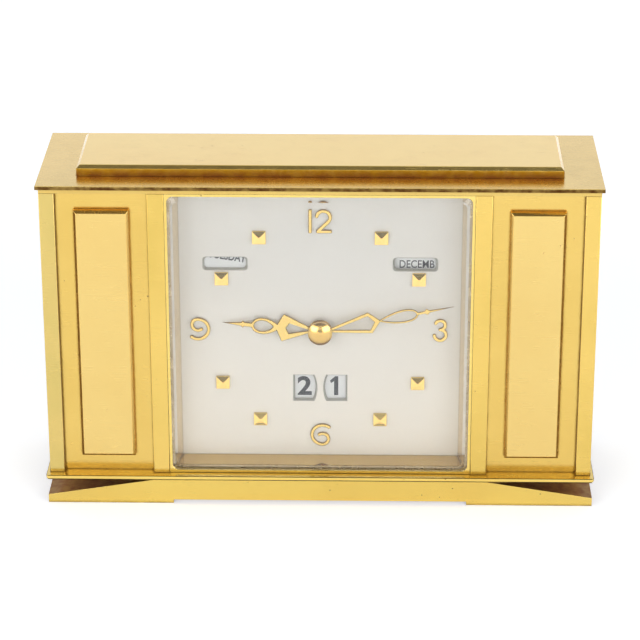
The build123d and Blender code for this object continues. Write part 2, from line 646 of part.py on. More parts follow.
# Numerals: rounded strokes drawn with tangent arcs about each numeral's own middle
STROKE_HALF = NUMERAL_STROKE / 2
STROKE_HEIGHT = NUMERAL_HEIGHT - NUMERAL_STROKE
BIG_ARC = STROKE_HEIGHT / 2
SMALL_ARC = STROKE_HEIGHT * SPIRAL_LOOP_SHARE
SPIRAL_WIDTH = BIG_ARC + SMALL_ARC + NUMERAL_STROKE
NUMERAL_RISE = WINDOW_HEIGHT / 2 - NUMERAL_MARGIN - NUMERAL_HEIGHT / 2
NUMERAL_OUT = WINDOW_WIDTH / 2 - NUMERAL_MARGIN - SPIRAL_WIDTH / 2


def round_ends(line):
    """Round off the two ends of a traced stroke."""
    with Locations(line @ 0, line @ 1):
        Circle(STROKE_HALF)


def numeral_plane(x, z, way_up):
    """Plane on the dial about a numeral's middle; way_up is -1 for one that stands on its head."""
    return Plane(origin=(x, DIAL_FRONT, z), x_dir=(way_up, 0, 0), z_dir=(0, -1, 0))


for name, x, z, way_up in (
    ("numeral_9", -NUMERAL_OUT, DIAL_Z, 1),
    ("numeral_6", 0, DIAL_Z - NUMERAL_RISE, -1),
):
    with BuildPart() as numeral:
        with BuildSketch(numeral_plane(x, z, way_up)):
            spine = (SMALL_ARC - BIG_ARC) / 2
            with BuildLine() as stroke:
                CenterArc((spine, BIG_ARC - SMALL_ARC), SMALL_ARC, 270 + SPIRAL_CURL, -180 - SPIRAL_CURL)
                CenterArc((spine, 0), BIG_ARC, 90, -180 - SPIRAL_TAIL)
            trace(line_width=NUMERAL_STROKE)
            round_ends(stroke.wires()[0])
        extrude(amount=NUMERAL_RELIEF)
    numeral.part.label = name
    export_step(numeral.part, f"parts/{name}.step")

TWO_ARC = STROKE_HEIGHT * TWO_LOOP_SHARE
with BuildPart() as numeral_12:
    with BuildSketch(numeral_plane(0, DIAL_Z + NUMERAL_RISE, 1)):
        two_middle = (ONE_GAP + NUMERAL_STROKE) / 2
        crown = BIG_ARC - TWO_ARC
        with Locations((two_middle - TWO_ARC - ONE_GAP - NUMERAL_STROKE, 0)):
            Rectangle(NUMERAL_STROKE, NUMERAL_HEIGHT)
        with BuildLine() as stroke:
            bow = CenterArc((two_middle, crown), TWO_ARC, TWO_HOOK, -TWO_SWEEP)
            fall = (bow @ 1).Y + BIG_ARC
            Line(bow @ 1, ((bow @ 1).X - fall, -BIG_ARC))
        trace(line_width=NUMERAL_STROKE)
        round_ends(stroke.wires()[0])
        with Locations((two_middle + NUMERAL_STROKE / 4, -BIG_ARC)):
            Rectangle(2 * TWO_ARC + NUMERAL_STROKE / 2, NUMERAL_STROKE)
    extrude(amount=NUMERAL_RELIEF)
numeral_12.part.label = "numeral_12"
export_step(numeral_12.part, "parts/numeral_12.step")

UPPER_ARC = STROKE_HEIGHT * THREE_LOOP_SHARE
LOWER_ARC = STROKE_HEIGHT / 2 - UPPER_ARC
with BuildPart() as numeral_3:
    with BuildSketch(numeral_plane(NUMERAL_OUT, DIAL_Z, 1)):
        with BuildLine() as upper:
            CenterArc((0, BIG_ARC - UPPER_ARC), UPPER_ARC, THREE_HOOK, -THREE_HOOK - 90)
        trace(line_width=NUMERAL_STROKE)
        round_ends(upper.wires()[0])
        with BuildLine() as lower:
            CenterArc((0, LOWER_ARC - BIG_ARC), LOWER_ARC, 90, -90 - THREE_TAIL)
        trace(line_width=NUMERAL_STROKE)
        round_ends(lower.wires()[0])
    extrude(amount=NUMERAL_RELIEF)
numeral_3.part.label = "numeral_3"
export_step(numeral_3.part, "parts/numeral_3.step")

# Square studs with low pyramid fronts at the other hours
STUD_SLOPE = degrees(atan2((STUD_SIZE - STUD_TOP) / 2, STUD_RELIEF))
STUD_PLACES = [
    (hand * out, DIAL_Z + rise)
    for out, rise in (
        (STUD_STEEP_OUT, STUD_STEEP_RISE),
        (STUD_FLAT_OUT, STUD_FLAT_RISE),
        (STUD_FLAT_OUT, -STUD_FLAT_DROP),
        (STUD_STEEP_OUT, -STUD_STEEP_RISE),
    )
    for hand in (-1, 1)
]
with BuildPart() as hour_studs:
    for depth, height, slope in (
        (DIAL_FRONT, STUD_WALL, 0),
        (DIAL_FRONT - STUD_WALL, STUD_RELIEF, STUD_SLOPE),
    ):
        with BuildSketch(facing(depth)):
            with Locations(*STUD_PLACES):
                Rectangle(STUD_SIZE, STUD_SIZE)
        extrude(amount=height, taper=slope)
hour_studs.part.label = "hour_studs"
export_step(hour_studs.part, "parts/hour_studs.step")


def drop(start, end, half, pointed, mode=Mode.ADD):
    """Add a drop-shaped face along X: narrow at its start, widest past its middle."""
    turns = [pi * step / LOOP_STEPS for step in range(LOOP_STEPS + 1)]
    swell = [sin(turn) * sin(turn / 2) ** pointed for turn in turns]
    along = [start + (end - start) * (1 - cos(turn)) / 2 for turn in turns]
    with BuildLine() as outline:
        for hand in (-1, 1):
            Spline(*[(x, hand * half * wide / max(swell)) for x, wide in zip(along, swell)])
    make_face(outline.edges(), mode=mode)


def hand_outline(length, kite, shoulder, nose, eye, bar, loop, bead, needle, bore):
    """Add an openwork hand to the sketch, along X from the dial centre."""
    eye_from, eye_half, eye_setback, eye_nose = eye
    loop_length, loop_half, pointed = loop
    neck, bead_half, bead_reach = bead
    cross = kite + nose
    loop_end = cross + loop_length
    bead_at = loop_end + neck
    filled(
        [
            (HAND_ROOT_AT, HAND_ROOT_HALF),
            (kite, shoulder),
            (cross, bar / 2),
            (cross, -bar / 2),
            (kite, -shoulder),
            (HAND_ROOT_AT, -HAND_ROOT_HALF),
        ]
    )
    with BuildLine() as opening:
        Polyline(
            (eye_from, 0),
            (kite - eye_setback, eye_half),
            (cross - eye_nose, 0),
            (kite - eye_setback, -eye_half),
            close=True,
        )
    make_face(opening.edges(), mode=Mode.SUBTRACT)
    drop(cross - bar, loop_end, loop_half, pointed)
    drop(cross + bar, loop_end - bar, loop_half - bar, pointed, Mode.SUBTRACT)
    filled(
        [
            (loop_end - bar / 2, needle),
            (bead_at, needle),
            (length, 0),
            (bead_at, -needle),
            (loop_end - bar / 2, -needle),
        ]
    )
    filled(
        [(bead_at - bead_reach, 0), (bead_at, bead_half), (bead_at + bead_reach, 0), (bead_at, -bead_half)]
    )
    Circle(HAND_HUB_RADIUS)
    Circle(bore, mode=Mode.SUBTRACT)


with BuildPart() as hour_hand:
    with BuildSketch(hand_plane(HOUR_HAND_REAR, HOUR_ANGLE)):
        hand_outline(
            HOUR_HAND_LENGTH,
            HOUR_KITE,
            HOUR_SHOULDER,
            HOUR_NOSE,
            (HOUR_EYE_FROM, HOUR_EYE_HALF, HOUR_EYE_SETBACK, HOUR_EYE_NOSE),
            HOUR_BAR,
            (HOUR_LOOP_LENGTH, HOUR_LOOP, HOUR_LOOP_POINT),
            (HOUR_NECK, HOUR_BEAD_HALF, HOUR_BEAD_REACH),
            HOUR_NEEDLE_HALF,
            HOUR_PIPE_RADIUS + SEAT_CLEARANCE,
        )
    extrude(amount=HAND_THICKNESS)
hour_hand.part.label = "hour_hand"
export_step(hour_hand.part, "parts/hour_hand.step")

with BuildPart() as minute_hand:
    with BuildSketch(hand_plane(MINUTE_HAND_REAR, MINUTE_ANGLE)):
        hand_outline(
            MINUTE_HAND_LENGTH,
            MINUTE_KITE,
            MINUTE_SHOULDER,
            MINUTE_NOSE,
            (MINUTE_EYE_FROM, MINUTE_EYE_HALF, MINUTE_EYE_SETBACK, MINUTE_EYE_NOSE),
            MINUTE_BAR,
            (MINUTE_LOOP_LENGTH, MINUTE_LOOP, MINUTE_LOOP_POINT),
            (MINUTE_NECK, MINUTE_BEAD_HALF, MINUTE_BEAD_REACH),
            MINUTE_NEEDLE_HALF,
            CANNON_RADIUS + SEAT_CLEARANCE,
        )
    extrude(amount=HAND_THICKNESS)
minute_hand.part.label = "minute_hand"
export_step(minute_hand.part, "parts/minute_hand.step")

# Domed nut that covers the hub and clamps the minute hand
NUT_REAR = MINUTE_HAND_FRONT
ARBOR_FRONT = NUT_REAR - NUT_HEIGHT / 2
NUT_DOME_RADIUS = (NUT_RADIUS**2 + (NUT_HEIGHT - NUT_RIM) ** 2) / (2 * (NUT_HEIGHT - NUT_RIM))
DIAL_AXIS = Axis((0, 0, DIAL_Z), (0, 1, 0))
with BuildPart() as hand_nut:
    with BuildSketch(Plane(origin=(0, 0, DIAL_Z), x_dir=(0, 1, 0), z_dir=(1, 0, 0))):
        with BuildLine():
            crest = (NUT_REAR - NUT_HEIGHT, 0)
            shoulder = (NUT_REAR - NUT_RIM, NUT_RADIUS)
            RadiusArc(crest, shoulder, NUT_DOME_RADIUS)
            Polyline(
                shoulder,
                (NUT_REAR, NUT_RADIUS),
                (NUT_REAR, ARBOR_RADIUS + SEAT_CLEARANCE),
                (ARBOR_FRONT - SEAT_CLEARANCE, ARBOR_RADIUS + SEAT_CLEARANCE),
                (ARBOR_FRONT - SEAT_CLEARANCE, 0),
                crest,
            )
        make_face()
    revolve(axis=DIAL_AXIS)
hand_nut.part.label = "hand_nut"
export_step(hand_nut.part, "parts/hand_nut.step")

# Centre arbor, from the nut through both plates to the setting knob
with BuildPart() as centre_arbor:
    with BuildSketch(facing(KNOB_REAR)):
        with Locations((0, DIAL_Z)):
            Circle(ARBOR_RADIUS)
    extrude(amount=KNOB_REAR - ARBOR_FRONT)
centre_arbor.part.label = "centre_arbor"
export_step(centre_arbor.part, "parts/centre_arbor.step")

# Cannon pinion: the pipe that carries the minute hand, toothed at its rear end
with BuildPart() as cannon_pinion:
    with BuildSketch(wheel_plane(MINUTE_LAYER_REAR, 0, 0)):
        toothed_wheel(CANNON_TEETH, MOTION_MODULE, 90)
    extrude(amount=WHEEL_THICKNESS)
    with BuildSketch(facing(MINUTE_LAYER_FRONT)):
        with Locations((0, DIAL_Z)):
            Circle(CANNON_RADIUS)
    extrude(amount=MINUTE_LAYER_FRONT - MINUTE_HAND_FRONT)
    with BuildSketch(facing(MINUTE_LAYER_REAR)):
        with Locations((0, DIAL_Z)):
            Circle(ARBOR_RADIUS + SEAT_CLEARANCE)
    extrude(amount=MINUTE_LAYER_REAR - MINUTE_HAND_FRONT, mode=Mode.SUBTRACT)
cannon_pinion.part.label = "cannon_pinion"
export_step(cannon_pinion.part, "parts/cannon_pinion.step")


# Minute wheel: driven by the cannon pinion, with the pinion that drives the hour wheel
with BuildPart() as minute_wheel:
    with BuildSketch(wheel_plane(MINUTE_LAYER_REAR, 0, MOTION_DISTANCE)):
        toothed_wheel(MINUTE_WHEEL_TEETH, MOTION_MODULE, MINUTE_TURN)
    extrude(amount=WHEEL_THICKNESS)
    with BuildSketch(wheel_plane(MINUTE_LAYER_FRONT, 0, MOTION_DISTANCE)):
        toothed_wheel(MINUTE_PINION_TEETH, HOUR_MODULE, 270)
    extrude(amount=MINUTE_LAYER_FRONT - HOUR_LAYER_FRONT)
    with BuildSketch(wheel_plane(MINUTE_LAYER_REAR, 0, MOTION_DISTANCE)):
        Circle(STUD_POST_RADIUS + RUNNING_CLEARANCE)
    extrude(amount=MINUTE_LAYER_REAR - HOUR_LAYER_FRONT, mode=Mode.SUBTRACT)
minute_wheel.part.label = "minute_wheel"
export_step(minute_wheel.part, "parts/minute_wheel.step")

# Hour wheel with the pipe that carries the hour hand
with BuildPart() as hour_wheel:
    with BuildSketch(wheel_plane(HOUR_LAYER_REAR, 0, 0)):
        toothed_wheel(HOUR_WHEEL_TEETH, HOUR_MODULE, HOUR_TURN)
    extrude(amount=WHEEL_THICKNESS)
    with BuildSketch(wheel_plane(HOUR_LAYER_FRONT, 0, 0)):
        Circle(HOUR_PIPE_RADIUS)
    extrude(amount=HOUR_LAYER_FRONT - HOUR_HAND_FRONT)
    with BuildSketch(wheel_plane(HOUR_LAYER_REAR, 0, 0)):
        Circle(CANNON_RADIUS + RUNNING_CLEARANCE)
    extrude(amount=HOUR_LAYER_REAR - HOUR_HAND_FRONT, mode=Mode.SUBTRACT)
hour_wheel.part.label = "hour_wheel"
export_step(hour_wheel.part, "parts/hour_wheel.step")

# Wheels that turn once a day; each carries a finger that kicks a calendar star
FINGER_FRONT = HOUR_LAYER_REAR
FINGER_REAR = FINGER_FRONT + FINGER_THICKNESS
for name, hand in (("day_wheel", -1), ("date_wheel", 1)):
    direction = 0 if hand > 0 else 180
    daily_turn = meshing_turn(HOUR_WHEEL_TEETH, HOUR_TURN, DAILY_WHEEL_TEETH, direction)
    with BuildPart() as daily_wheel:
        with BuildSketch(wheel_plane(HOUR_LAYER_REAR, hand * DAILY_DISTANCE, 0)):
            toothed_wheel(DAILY_WHEEL_TEETH, HOUR_MODULE, daily_turn)
        extrude(amount=WHEEL_THICKNESS)
        with BuildSketch(wheel_plane(FINGER_REAR, hand * DAILY_DISTANCE, 0)):
            Circle(FINGER_WIDTH)
            with Locations((hand * FINGER_REACH / 2, 0)):
                Rectangle(FINGER_REACH, FINGER_WIDTH)
        extrude(amount=FINGER_THICKNESS)
        with BuildSketch(wheel_plane(FINGER_REAR, hand * DAILY_DISTANCE, 0)):
            Circle(STUD_POST_RADIUS + RUNNING_CLEARANCE)
        extrude(amount=FINGER_REAR - HOUR_LAYER_FRONT, mode=Mode.SUBTRACT)
    daily_wheel.part.label = name
    export_step(daily_wheel.part, f"parts/{name}.step")

# Centre wheel on the arbor, between the plates, and the pinion that drives it
CENTRE_WHEEL_FRONT = PLATE_REAR + WHEEL_PLATE_GAP
CENTRE_WHEEL_REAR = CENTRE_WHEEL_FRONT + WHEEL_THICKNESS
with BuildPart() as centre_wheel:
    with BuildSketch(wheel_plane(CENTRE_WHEEL_REAR, 0, 0)):
        toothed_wheel(CENTRE_WHEEL_TEETH, MOTION_MODULE, 0)
        Circle(ARBOR_RADIUS + SEAT_CLEARANCE, mode=Mode.SUBTRACT)
    extrude(amount=WHEEL_THICKNESS)
centre_wheel.part.label = "centre_wheel"
export_step(centre_wheel.part, "parts/centre_wheel.step")

DRIVE_FRONT = REAR_PLATE_FRONT - DRIVE_DEPTH
PINION_REAR = DRIVE_FRONT - DISC_GAP
with BuildPart() as drive_pinion:
    with BuildSketch(wheel_plane(PINION_REAR, DRIVE_DISTANCE, 0)):
        toothed_wheel(DRIVE_PINION_TEETH, MOTION_MODULE, DRIVE_TURN)
    extrude(amount=PINION_REAR - CENTRE_WHEEL_FRONT)
    with BuildSketch(wheel_plane(DRIVE_FRONT + DRIVE_SHAFT_LENGTH, DRIVE_DISTANCE, 0)):
        Circle(STUD_POST_RADIUS)
    extrude(amount=DRIVE_FRONT + DRIVE_SHAFT_LENGTH - PINION_REAR)
drive_pinion.part.label = "drive_pinion"
export_step(drive_pinion.part, "parts/drive_pinion.step")

# Sealed drive unit on the rear plate, bored for the pinion's shaft
DRIVE_X = DRIVE_DISTANCE - DRIVE_SHAFT_INSET + DRIVE_WIDTH / 2
with BuildPart() as drive_unit:
    with BuildSketch(wheel_plane(REAR_PLATE_FRONT, DRIVE_X, 0)):
        RectangleRounded(DRIVE_WIDTH, DRIVE_HEIGHT, PILLAR_RADIUS)
    extrude(amount=DRIVE_DEPTH)
    with BuildSketch(wheel_plane(DRIVE_FRONT + DRIVE_SHAFT_LENGTH + DISC_GAP, DRIVE_DISTANCE, 0)):
        Circle(STUD_POST_RADIUS + RUNNING_CLEARANCE)
    extrude(amount=DRIVE_SHAFT_LENGTH + DISC_GAP, mode=Mode.SUBTRACT)
drive_unit.part.label = "drive_unit"
export_step(drive_unit.part, "parts/drive_unit.step")

# Calendar: each disc, its setting stem and the star that a finger kicks.
# The day and month discs overlap, so they lie in two layers.
CALENDAR = (
    ("day", -WEEK_CENTRE_X, CALENDAR_RISE, WEEK_DISC_RADIUS, FRONT_DISC_REAR, DAY_STAR_POINTS),
    ("month", WEEK_CENTRE_X, CALENDAR_RISE, WEEK_DISC_RADIUS, REAR_DISC_REAR, 0),
    ("tens", TENS_CENTRE_X, -DATE_DROP, TENS_DISC_RADIUS, FRONT_DISC_REAR, 0),
    ("units", UNITS_CENTRE_X, -DATE_DROP, UNITS_DISC_RADIUS, FRONT_DISC_REAR, UNITS_STAR_POINTS),
)
for name, x, z, radius, disc_rear, star in CALENDAR:
    with BuildPart() as disc:
        with BuildSketch(wheel_plane(disc_rear, x, z)):
            Circle(radius)
            Circle(STEM_RADIUS + SEAT_CLEARANCE, mode=Mode.SUBTRACT)
        extrude(amount=DISC_THICKNESS)
    disc.part.label = f"{name}_disc"
    export_step(disc.part, f"parts/{name}_disc.step")

    with BuildPart() as stem:
        with BuildSketch(wheel_plane(KNOB_REAR, x, z)):
            Circle(KNOB_RADIUS)
            with PolarLocations(KNOB_RADIUS, KNOB_GROOVES):
                Circle(KNOB_GROOVE_RADIUS, mode=Mode.SUBTRACT)
        extrude(amount=KNOB_LENGTH)
        with BuildSketch(wheel_plane(KNOB_FRONT, x, z)):
            Circle(STEM_RADIUS)
        extrude(amount=KNOB_FRONT - disc_rear + DISC_THICKNESS)
        if star:
            wheel_x = DAILY_DISTANCE if x > 0 else -DAILY_DISTANCE
            reach = ((wheel_x - x) ** 2 + z**2) ** 0.5 - FINGER_REACH
            with BuildSketch(wheel_plane(FINGER_REAR, x, z)):
                filled(star_points(star, reach + STAR_BITE, reach - STAR_BITE))
            extrude(amount=FINGER_THICKNESS)
    stem.part.label = f"{name}_stem"
    export_step(stem.part, f"parts/{name}_stem.step")

# Movement plates, bored for every arbor and stem; the front one carries the wheel posts
BORES = [(x, z, STEM_RADIUS) for _, x, z, _, _, _ in CALENDAR] + [(0, 0, ARBOR_RADIUS)]
POSTS = (
    (0, MOTION_DISTANCE, HOUR_LAYER_FRONT),
    (-DAILY_DISTANCE, 0, HOUR_LAYER_FRONT),
    (DAILY_DISTANCE, 0, HOUR_LAYER_FRONT),
)
for name, plate_rear in (("front", PLATE_REAR), ("rear", REAR_PLATE_REAR)):
    with BuildPart() as plate:
        with BuildSketch(facing(plate_rear)):
            with Locations((0, WINDOW_Z)):
                Rectangle(2 * PLATE_HALF_WIDTH, 2 * PLATE_HALF_HEIGHT)
                with GridLocations(2 * PILLAR_X, 2 * PILLAR_Z, 2, 2):
                    Circle(SPIGOT_RADIUS + SEAT_CLEARANCE, mode=Mode.SUBTRACT)
            for x, z, radius in BORES:
                with Locations((x, DIAL_Z + z)):
                    Circle(radius + RUNNING_CLEARANCE, mode=Mode.SUBTRACT)
        extrude(amount=PLATE_SHEET)
        if name == "front":
            for x, z, post_front in POSTS:
                with BuildSketch(wheel_plane(PLATE_FRONT, x, z)):
                    Circle(STUD_POST_RADIUS)
                extrude(amount=PLATE_FRONT - post_front)
    plate.part.label = f"movement_{name}_plate"
    export_step(plate.part, f"parts/movement_{name}_plate.step")

# Pillars between the plates; a spigot on each goes through the front plate into a dial post
with BuildPart() as movement_pillars:
    for depth, radius, length in (
        (REAR_PLATE_FRONT, PILLAR_RADIUS, PLATE_SPACE),
        (PLATE_REAR, SPIGOT_RADIUS, PLATE_SHEET + SPIGOT_LENGTH),
    ):
        with BuildSketch(facing(depth)):
            with Locations((0, WINDOW_Z)):
                with GridLocations(2 * PILLAR_X, 2 * PILLAR_Z, 2, 2):
                    Circle(radius)
        extrude(amount=length)
    with BuildSketch(facing(REAR_PLATE_FRONT)):
        with Locations((0, WINDOW_Z)):
            with GridLocations(2 * PILLAR_X, 2 * PILLAR_Z, 2, 2):
                Circle(SPIGOT_RADIUS + SEAT_CLEARANCE)
    extrude(amount=SPIGOT_LENGTH, mode=Mode.SUBTRACT)
movement_pillars.part.label = "movement_pillars"
export_step(movement_pillars.part, "parts/movement_pillars.step")

with BuildPart() as dial_posts:
    with BuildSketch(facing(PLATE_FRONT)):
        with Locations((0, WINDOW_Z)):
            with GridLocations(2 * PILLAR_X, 2 * PILLAR_Z, 2, 2):
                Circle(POST_RADIUS)
    extrude(amount=MOTION_SPACE)
    with BuildSketch(facing(PLATE_FRONT)):
        with Locations((0, WINDOW_Z)):
            with GridLocations(2 * PILLAR_X, 2 * PILLAR_Z, 2, 2):
                Circle(SPIGOT_RADIUS + SEAT_CLEARANCE)
    extrude(amount=SPIGOT_LENGTH, mode=Mode.SUBTRACT)
dial_posts.part.label = "dial_posts"
export_step(dial_posts.part, "parts/dial_posts.step")

# Screws that hold the rear plate to the pillars
with BuildPart() as plate_screws:
    for depth, radius, length in (
        (REAR_PLATE_REAR + PLATE_SCREW_HEAD, PLATE_SCREW_HEAD_RADIUS, PLATE_SCREW_HEAD),
        (REAR_PLATE_REAR, SPIGOT_RADIUS, PLATE_SHEET + SPIGOT_LENGTH),
    ):
        with BuildSketch(facing(depth)):
            with Locations((0, WINDOW_Z)):
                with GridLocations(2 * PILLAR_X, 2 * PILLAR_Z, 2, 2):
                    Circle(radius)
        extrude(amount=length)
plate_screws.part.label = "plate_screws"
export_step(plate_screws.part, "parts/plate_screws.step")

# Setting knob on the rear end of the centre arbor
with BuildPart() as time_knob:
    with BuildSketch(wheel_plane(KNOB_REAR, 0, 0)):
        Circle(TIME_KNOB_RADIUS)
        with PolarLocations(TIME_KNOB_RADIUS, KNOB_GROOVES):
            Circle(KNOB_GROOVE_RADIUS, mode=Mode.SUBTRACT)
        Circle(ARBOR_RADIUS + SEAT_CLEARANCE, mode=Mode.SUBTRACT)
    extrude(amount=KNOB_LENGTH)
time_knob.part.label = "time_knob"
export_step(time_knob.part, "parts/time_knob.step")

# Rear door: a sheet with a rolled barrel that turns on a pin between base plate and cap
with BuildPart() as rear_door:
    with BuildSketch(Plane.XY.offset(DOOR_BOTTOM)):
        with Locations(((HINGE_X + WALL_INSIDE - DOOR_GAP) / 2, HINGE_Y)):
            Rectangle(WALL_INSIDE - DOOR_GAP - HINGE_X, DOOR_SHEET)
        with Locations((HINGE_X, HINGE_Y)):
            Circle(DOOR_BARREL_RADIUS)
            Circle(HINGE_PIN_RADIUS + RUNNING_CLEARANCE, mode=Mode.SUBTRACT)
    extrude(amount=DOOR_HEIGHT)
rear_door.part.label = "rear_door"
export_step(rear_door.part, "parts/rear_door.step")

with BuildPart() as hinge_pin:
    with BuildSketch(Plane.XY.offset(BASE_TOP - HINGE_PIN_SEAT)):
        with Locations((HINGE_X, HINGE_Y)):
            Circle(HINGE_PIN_RADIUS)
    extrude(amount=CASE_TOP - BASE_TOP + 2 * HINGE_PIN_SEAT)
hinge_pin.part.label = "hinge_pin"
export_step(hinge_pin.part, "parts/hinge_pin.step")

with BuildPart() as door_knob:
    with BuildSketch(facing(DOOR_REAR + DOOR_KNOB_HEIGHT)):
        with Locations((WALL_INSIDE - DOOR_KNOB_INSET, WINDOW_Z)):
            Circle(DOOR_KNOB_RADIUS)
    extrude(amount=DOOR_KNOB_HEIGHT)
    fillet(door_knob.edges().group_by(Axis.Y)[-1], DOOR_KNOB_HEIGHT / 4)
door_knob.part.label = "door_knob"
export_step(door_knob.part, "parts/door_knob.step")

# Catch on the right-hand wall, just inside the closed door
with BuildPart() as door_catch:
    with BuildSketch(facing(DOOR_FRONT - CATCH_GAP)):
        with Locations((WALL_INSIDE - CATCH_WIDTH / 2, WINDOW_Z)):
            Rectangle(CATCH_WIDTH, CATCH_HEIGHT)
    extrude(amount=CATCH_SHEET)
door_catch.part.label = "door_catch"
export_step(door_catch.part, "parts/door_catch.step")

# Battery tray against the right-hand front panel, with a lip along each side of the cell
CELL_X = (BEZEL_HALF + FLANGE_WIDTH + WALL_INSIDE) / 2
CELL_Y = PANEL_REAR + TRAY_WALL + CELL_CLEARANCE + CELL_RADIUS
TRAY_HALF = CELL_RADIUS + CELL_CLEARANCE + TRAY_WALL
TRAY_INSIDE = CELL_LENGTH + 2 * CONTACT_SHEET
TRAY_BOTTOM = DIAL_Z - TRAY_INSIDE / 2 - TRAY_WALL
TRAY_DEPTH = TRAY_WALL + CELL_CLEARANCE + CELL_RADIUS + CONTACT_SIZE / 2
with BuildPart() as battery_tray:
    with BuildSketch(Plane.XY.offset(TRAY_BOTTOM)):
        with Locations((CELL_X, PANEL_REAR + TRAY_DEPTH / 2)):
            Rectangle(2 * TRAY_HALF, TRAY_DEPTH)
    extrude(amount=TRAY_INSIDE + 2 * TRAY_WALL)
    with BuildSketch(Plane.XY.offset(TRAY_BOTTOM + TRAY_WALL)):
        with Locations((CELL_X, PANEL_REAR + TRAY_WALL + TRAY_DEPTH / 2)):
            Rectangle(2 * (TRAY_HALF - TRAY_WALL), TRAY_DEPTH)
        with Locations((CELL_X, PANEL_REAR + TRAY_WALL + TRAY_LIP + TRAY_DEPTH / 2)):
            Rectangle(2 * TRAY_HALF, TRAY_DEPTH)
    extrude(amount=TRAY_INSIDE, mode=Mode.SUBTRACT)
battery_tray.part.label = "battery_tray"
export_step(battery_tray.part, "parts/battery_tray.step")

CELL_BOTTOM = TRAY_BOTTOM + TRAY_WALL + CONTACT_SHEET
CELL_TOP = CELL_BOTTOM + CELL_LENGTH
with BuildPart() as battery:
    with BuildSketch(Plane.XY.offset(CELL_BOTTOM)):
        with Locations((CELL_X, CELL_Y)):
            Circle(CELL_RADIUS)
    extrude(amount=CELL_LENGTH - CELL_NUB_HEIGHT)
    with BuildSketch(Plane.XY.offset(CELL_TOP - CELL_NUB_HEIGHT)):
        with Locations((CELL_X, CELL_Y)):
            Circle(CELL_NUB_RADIUS)
    extrude(amount=CELL_NUB_HEIGHT)
battery.part.label = "battery"
export_step(battery.part, "parts/battery.step")

# Contact strips at both ends of the cell; each runs out past the tray's lip to take a lead
STRIP_INNER = CELL_X - TRAY_HALF - CONTACT_TAIL
with BuildPart() as battery_contacts:
    for bottom in (CELL_BOTTOM - CONTACT_SHEET, CELL_TOP):
        with BuildSketch(Plane.XY.offset(bottom)):
            with Locations(((STRIP_INNER + CELL_X + CONTACT_SIZE / 2) / 2, CELL_Y)):
                Rectangle(CELL_X + CONTACT_SIZE / 2 - STRIP_INNER, CONTACT_SIZE)
        extrude(amount=CONTACT_SHEET)
battery_contacts.part.label = "battery_contacts"
export_step(battery_contacts.part, "parts/battery_contacts.step")

# Leads from the contact strips to the side of the drive unit
LEAD_Y = (DRIVE_FRONT + REAR_PLATE_FRONT) / 2
LEAD_X = STRIP_INNER + CONTACT_TAIL / 2
DRIVE_SIDE = DRIVE_X + DRIVE_WIDTH / 2
with BuildPart() as battery_leads:
    for end, start_z in ((-1, CELL_BOTTOM), (1, CELL_TOP)):
        with BuildLine() as route:
            FilletPolyline(
                (LEAD_X, CELL_Y, start_z),
                (LEAD_X, CELL_Y, DIAL_Z + end * LEAD_DROP),
                (LEAD_X, LEAD_Y, DIAL_Z + end * LEAD_DROP),
                (DRIVE_SIDE, LEAD_Y, DIAL_Z + end * LEAD_DROP),
                radius=LEAD_BEND,
            )
        with BuildSketch(Plane(origin=route.line @ 0, z_dir=route.line % 0)):
            Circle(LEAD_RADIUS)
        sweep()
battery_leads.part.label = "battery_leads"
export_step(battery_leads.part, "parts/battery_leads.step")
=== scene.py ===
"""Looks of the gilt-brass desk clock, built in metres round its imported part, in its frame."""

from __future__ import annotations

import json
import logging
import math
from dataclasses import dataclass, replace
from enum import Enum
from typing import Any, Sequence, Union

import bpy
from bpy.types import Material, Mesh, Object
from mathutils import Matrix, Vector

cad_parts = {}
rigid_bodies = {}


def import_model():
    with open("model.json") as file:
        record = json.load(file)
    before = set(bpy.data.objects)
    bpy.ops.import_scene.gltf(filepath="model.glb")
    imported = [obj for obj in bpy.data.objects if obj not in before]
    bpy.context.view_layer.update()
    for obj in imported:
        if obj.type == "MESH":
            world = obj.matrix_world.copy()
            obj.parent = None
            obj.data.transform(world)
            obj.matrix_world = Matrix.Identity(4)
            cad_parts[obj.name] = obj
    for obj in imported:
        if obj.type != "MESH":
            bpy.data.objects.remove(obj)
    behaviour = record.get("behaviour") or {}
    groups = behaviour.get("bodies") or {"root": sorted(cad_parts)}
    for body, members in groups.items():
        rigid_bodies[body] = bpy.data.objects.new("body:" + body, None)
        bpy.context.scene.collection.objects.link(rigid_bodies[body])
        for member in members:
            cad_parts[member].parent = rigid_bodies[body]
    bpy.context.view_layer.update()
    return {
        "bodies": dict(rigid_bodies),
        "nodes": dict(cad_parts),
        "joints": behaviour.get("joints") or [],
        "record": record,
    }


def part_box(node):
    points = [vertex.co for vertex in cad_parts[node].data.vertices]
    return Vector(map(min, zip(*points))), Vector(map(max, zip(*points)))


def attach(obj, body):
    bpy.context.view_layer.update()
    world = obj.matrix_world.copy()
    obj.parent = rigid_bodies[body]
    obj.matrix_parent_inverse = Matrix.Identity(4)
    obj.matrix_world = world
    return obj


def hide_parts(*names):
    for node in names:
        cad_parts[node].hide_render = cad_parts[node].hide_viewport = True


LOG = logging.getLogger("desk_clock")
MM = 0.001
DIAL_CENTRE = Vector((0.0, -13.1 * MM, 59.75 * MM))
WINDOW_MIDDLE = 61.35 * MM
# outline of a digit 1 with a flag, in heights of the digit
FLAGGED_ONE = (
    (0.0, 0.0), (0.19, 0.0), (0.19, 1.0), (0.05, 1.0),
    (-0.19, 0.77), (-0.14, 0.65), (0.0, 0.74),
)
# how far printing stands out, and the scale that this is drawn at
PRINT_RISE = 0.004
PRINT_SCALE = 2 * MM
# modifiers on the frame's nodes: points to weld, faces to join, edges to round
WELD_GAP = 0.002 * MM
FLAT_ANGLE = 0.5
EDGE_ANGLE = 32.0
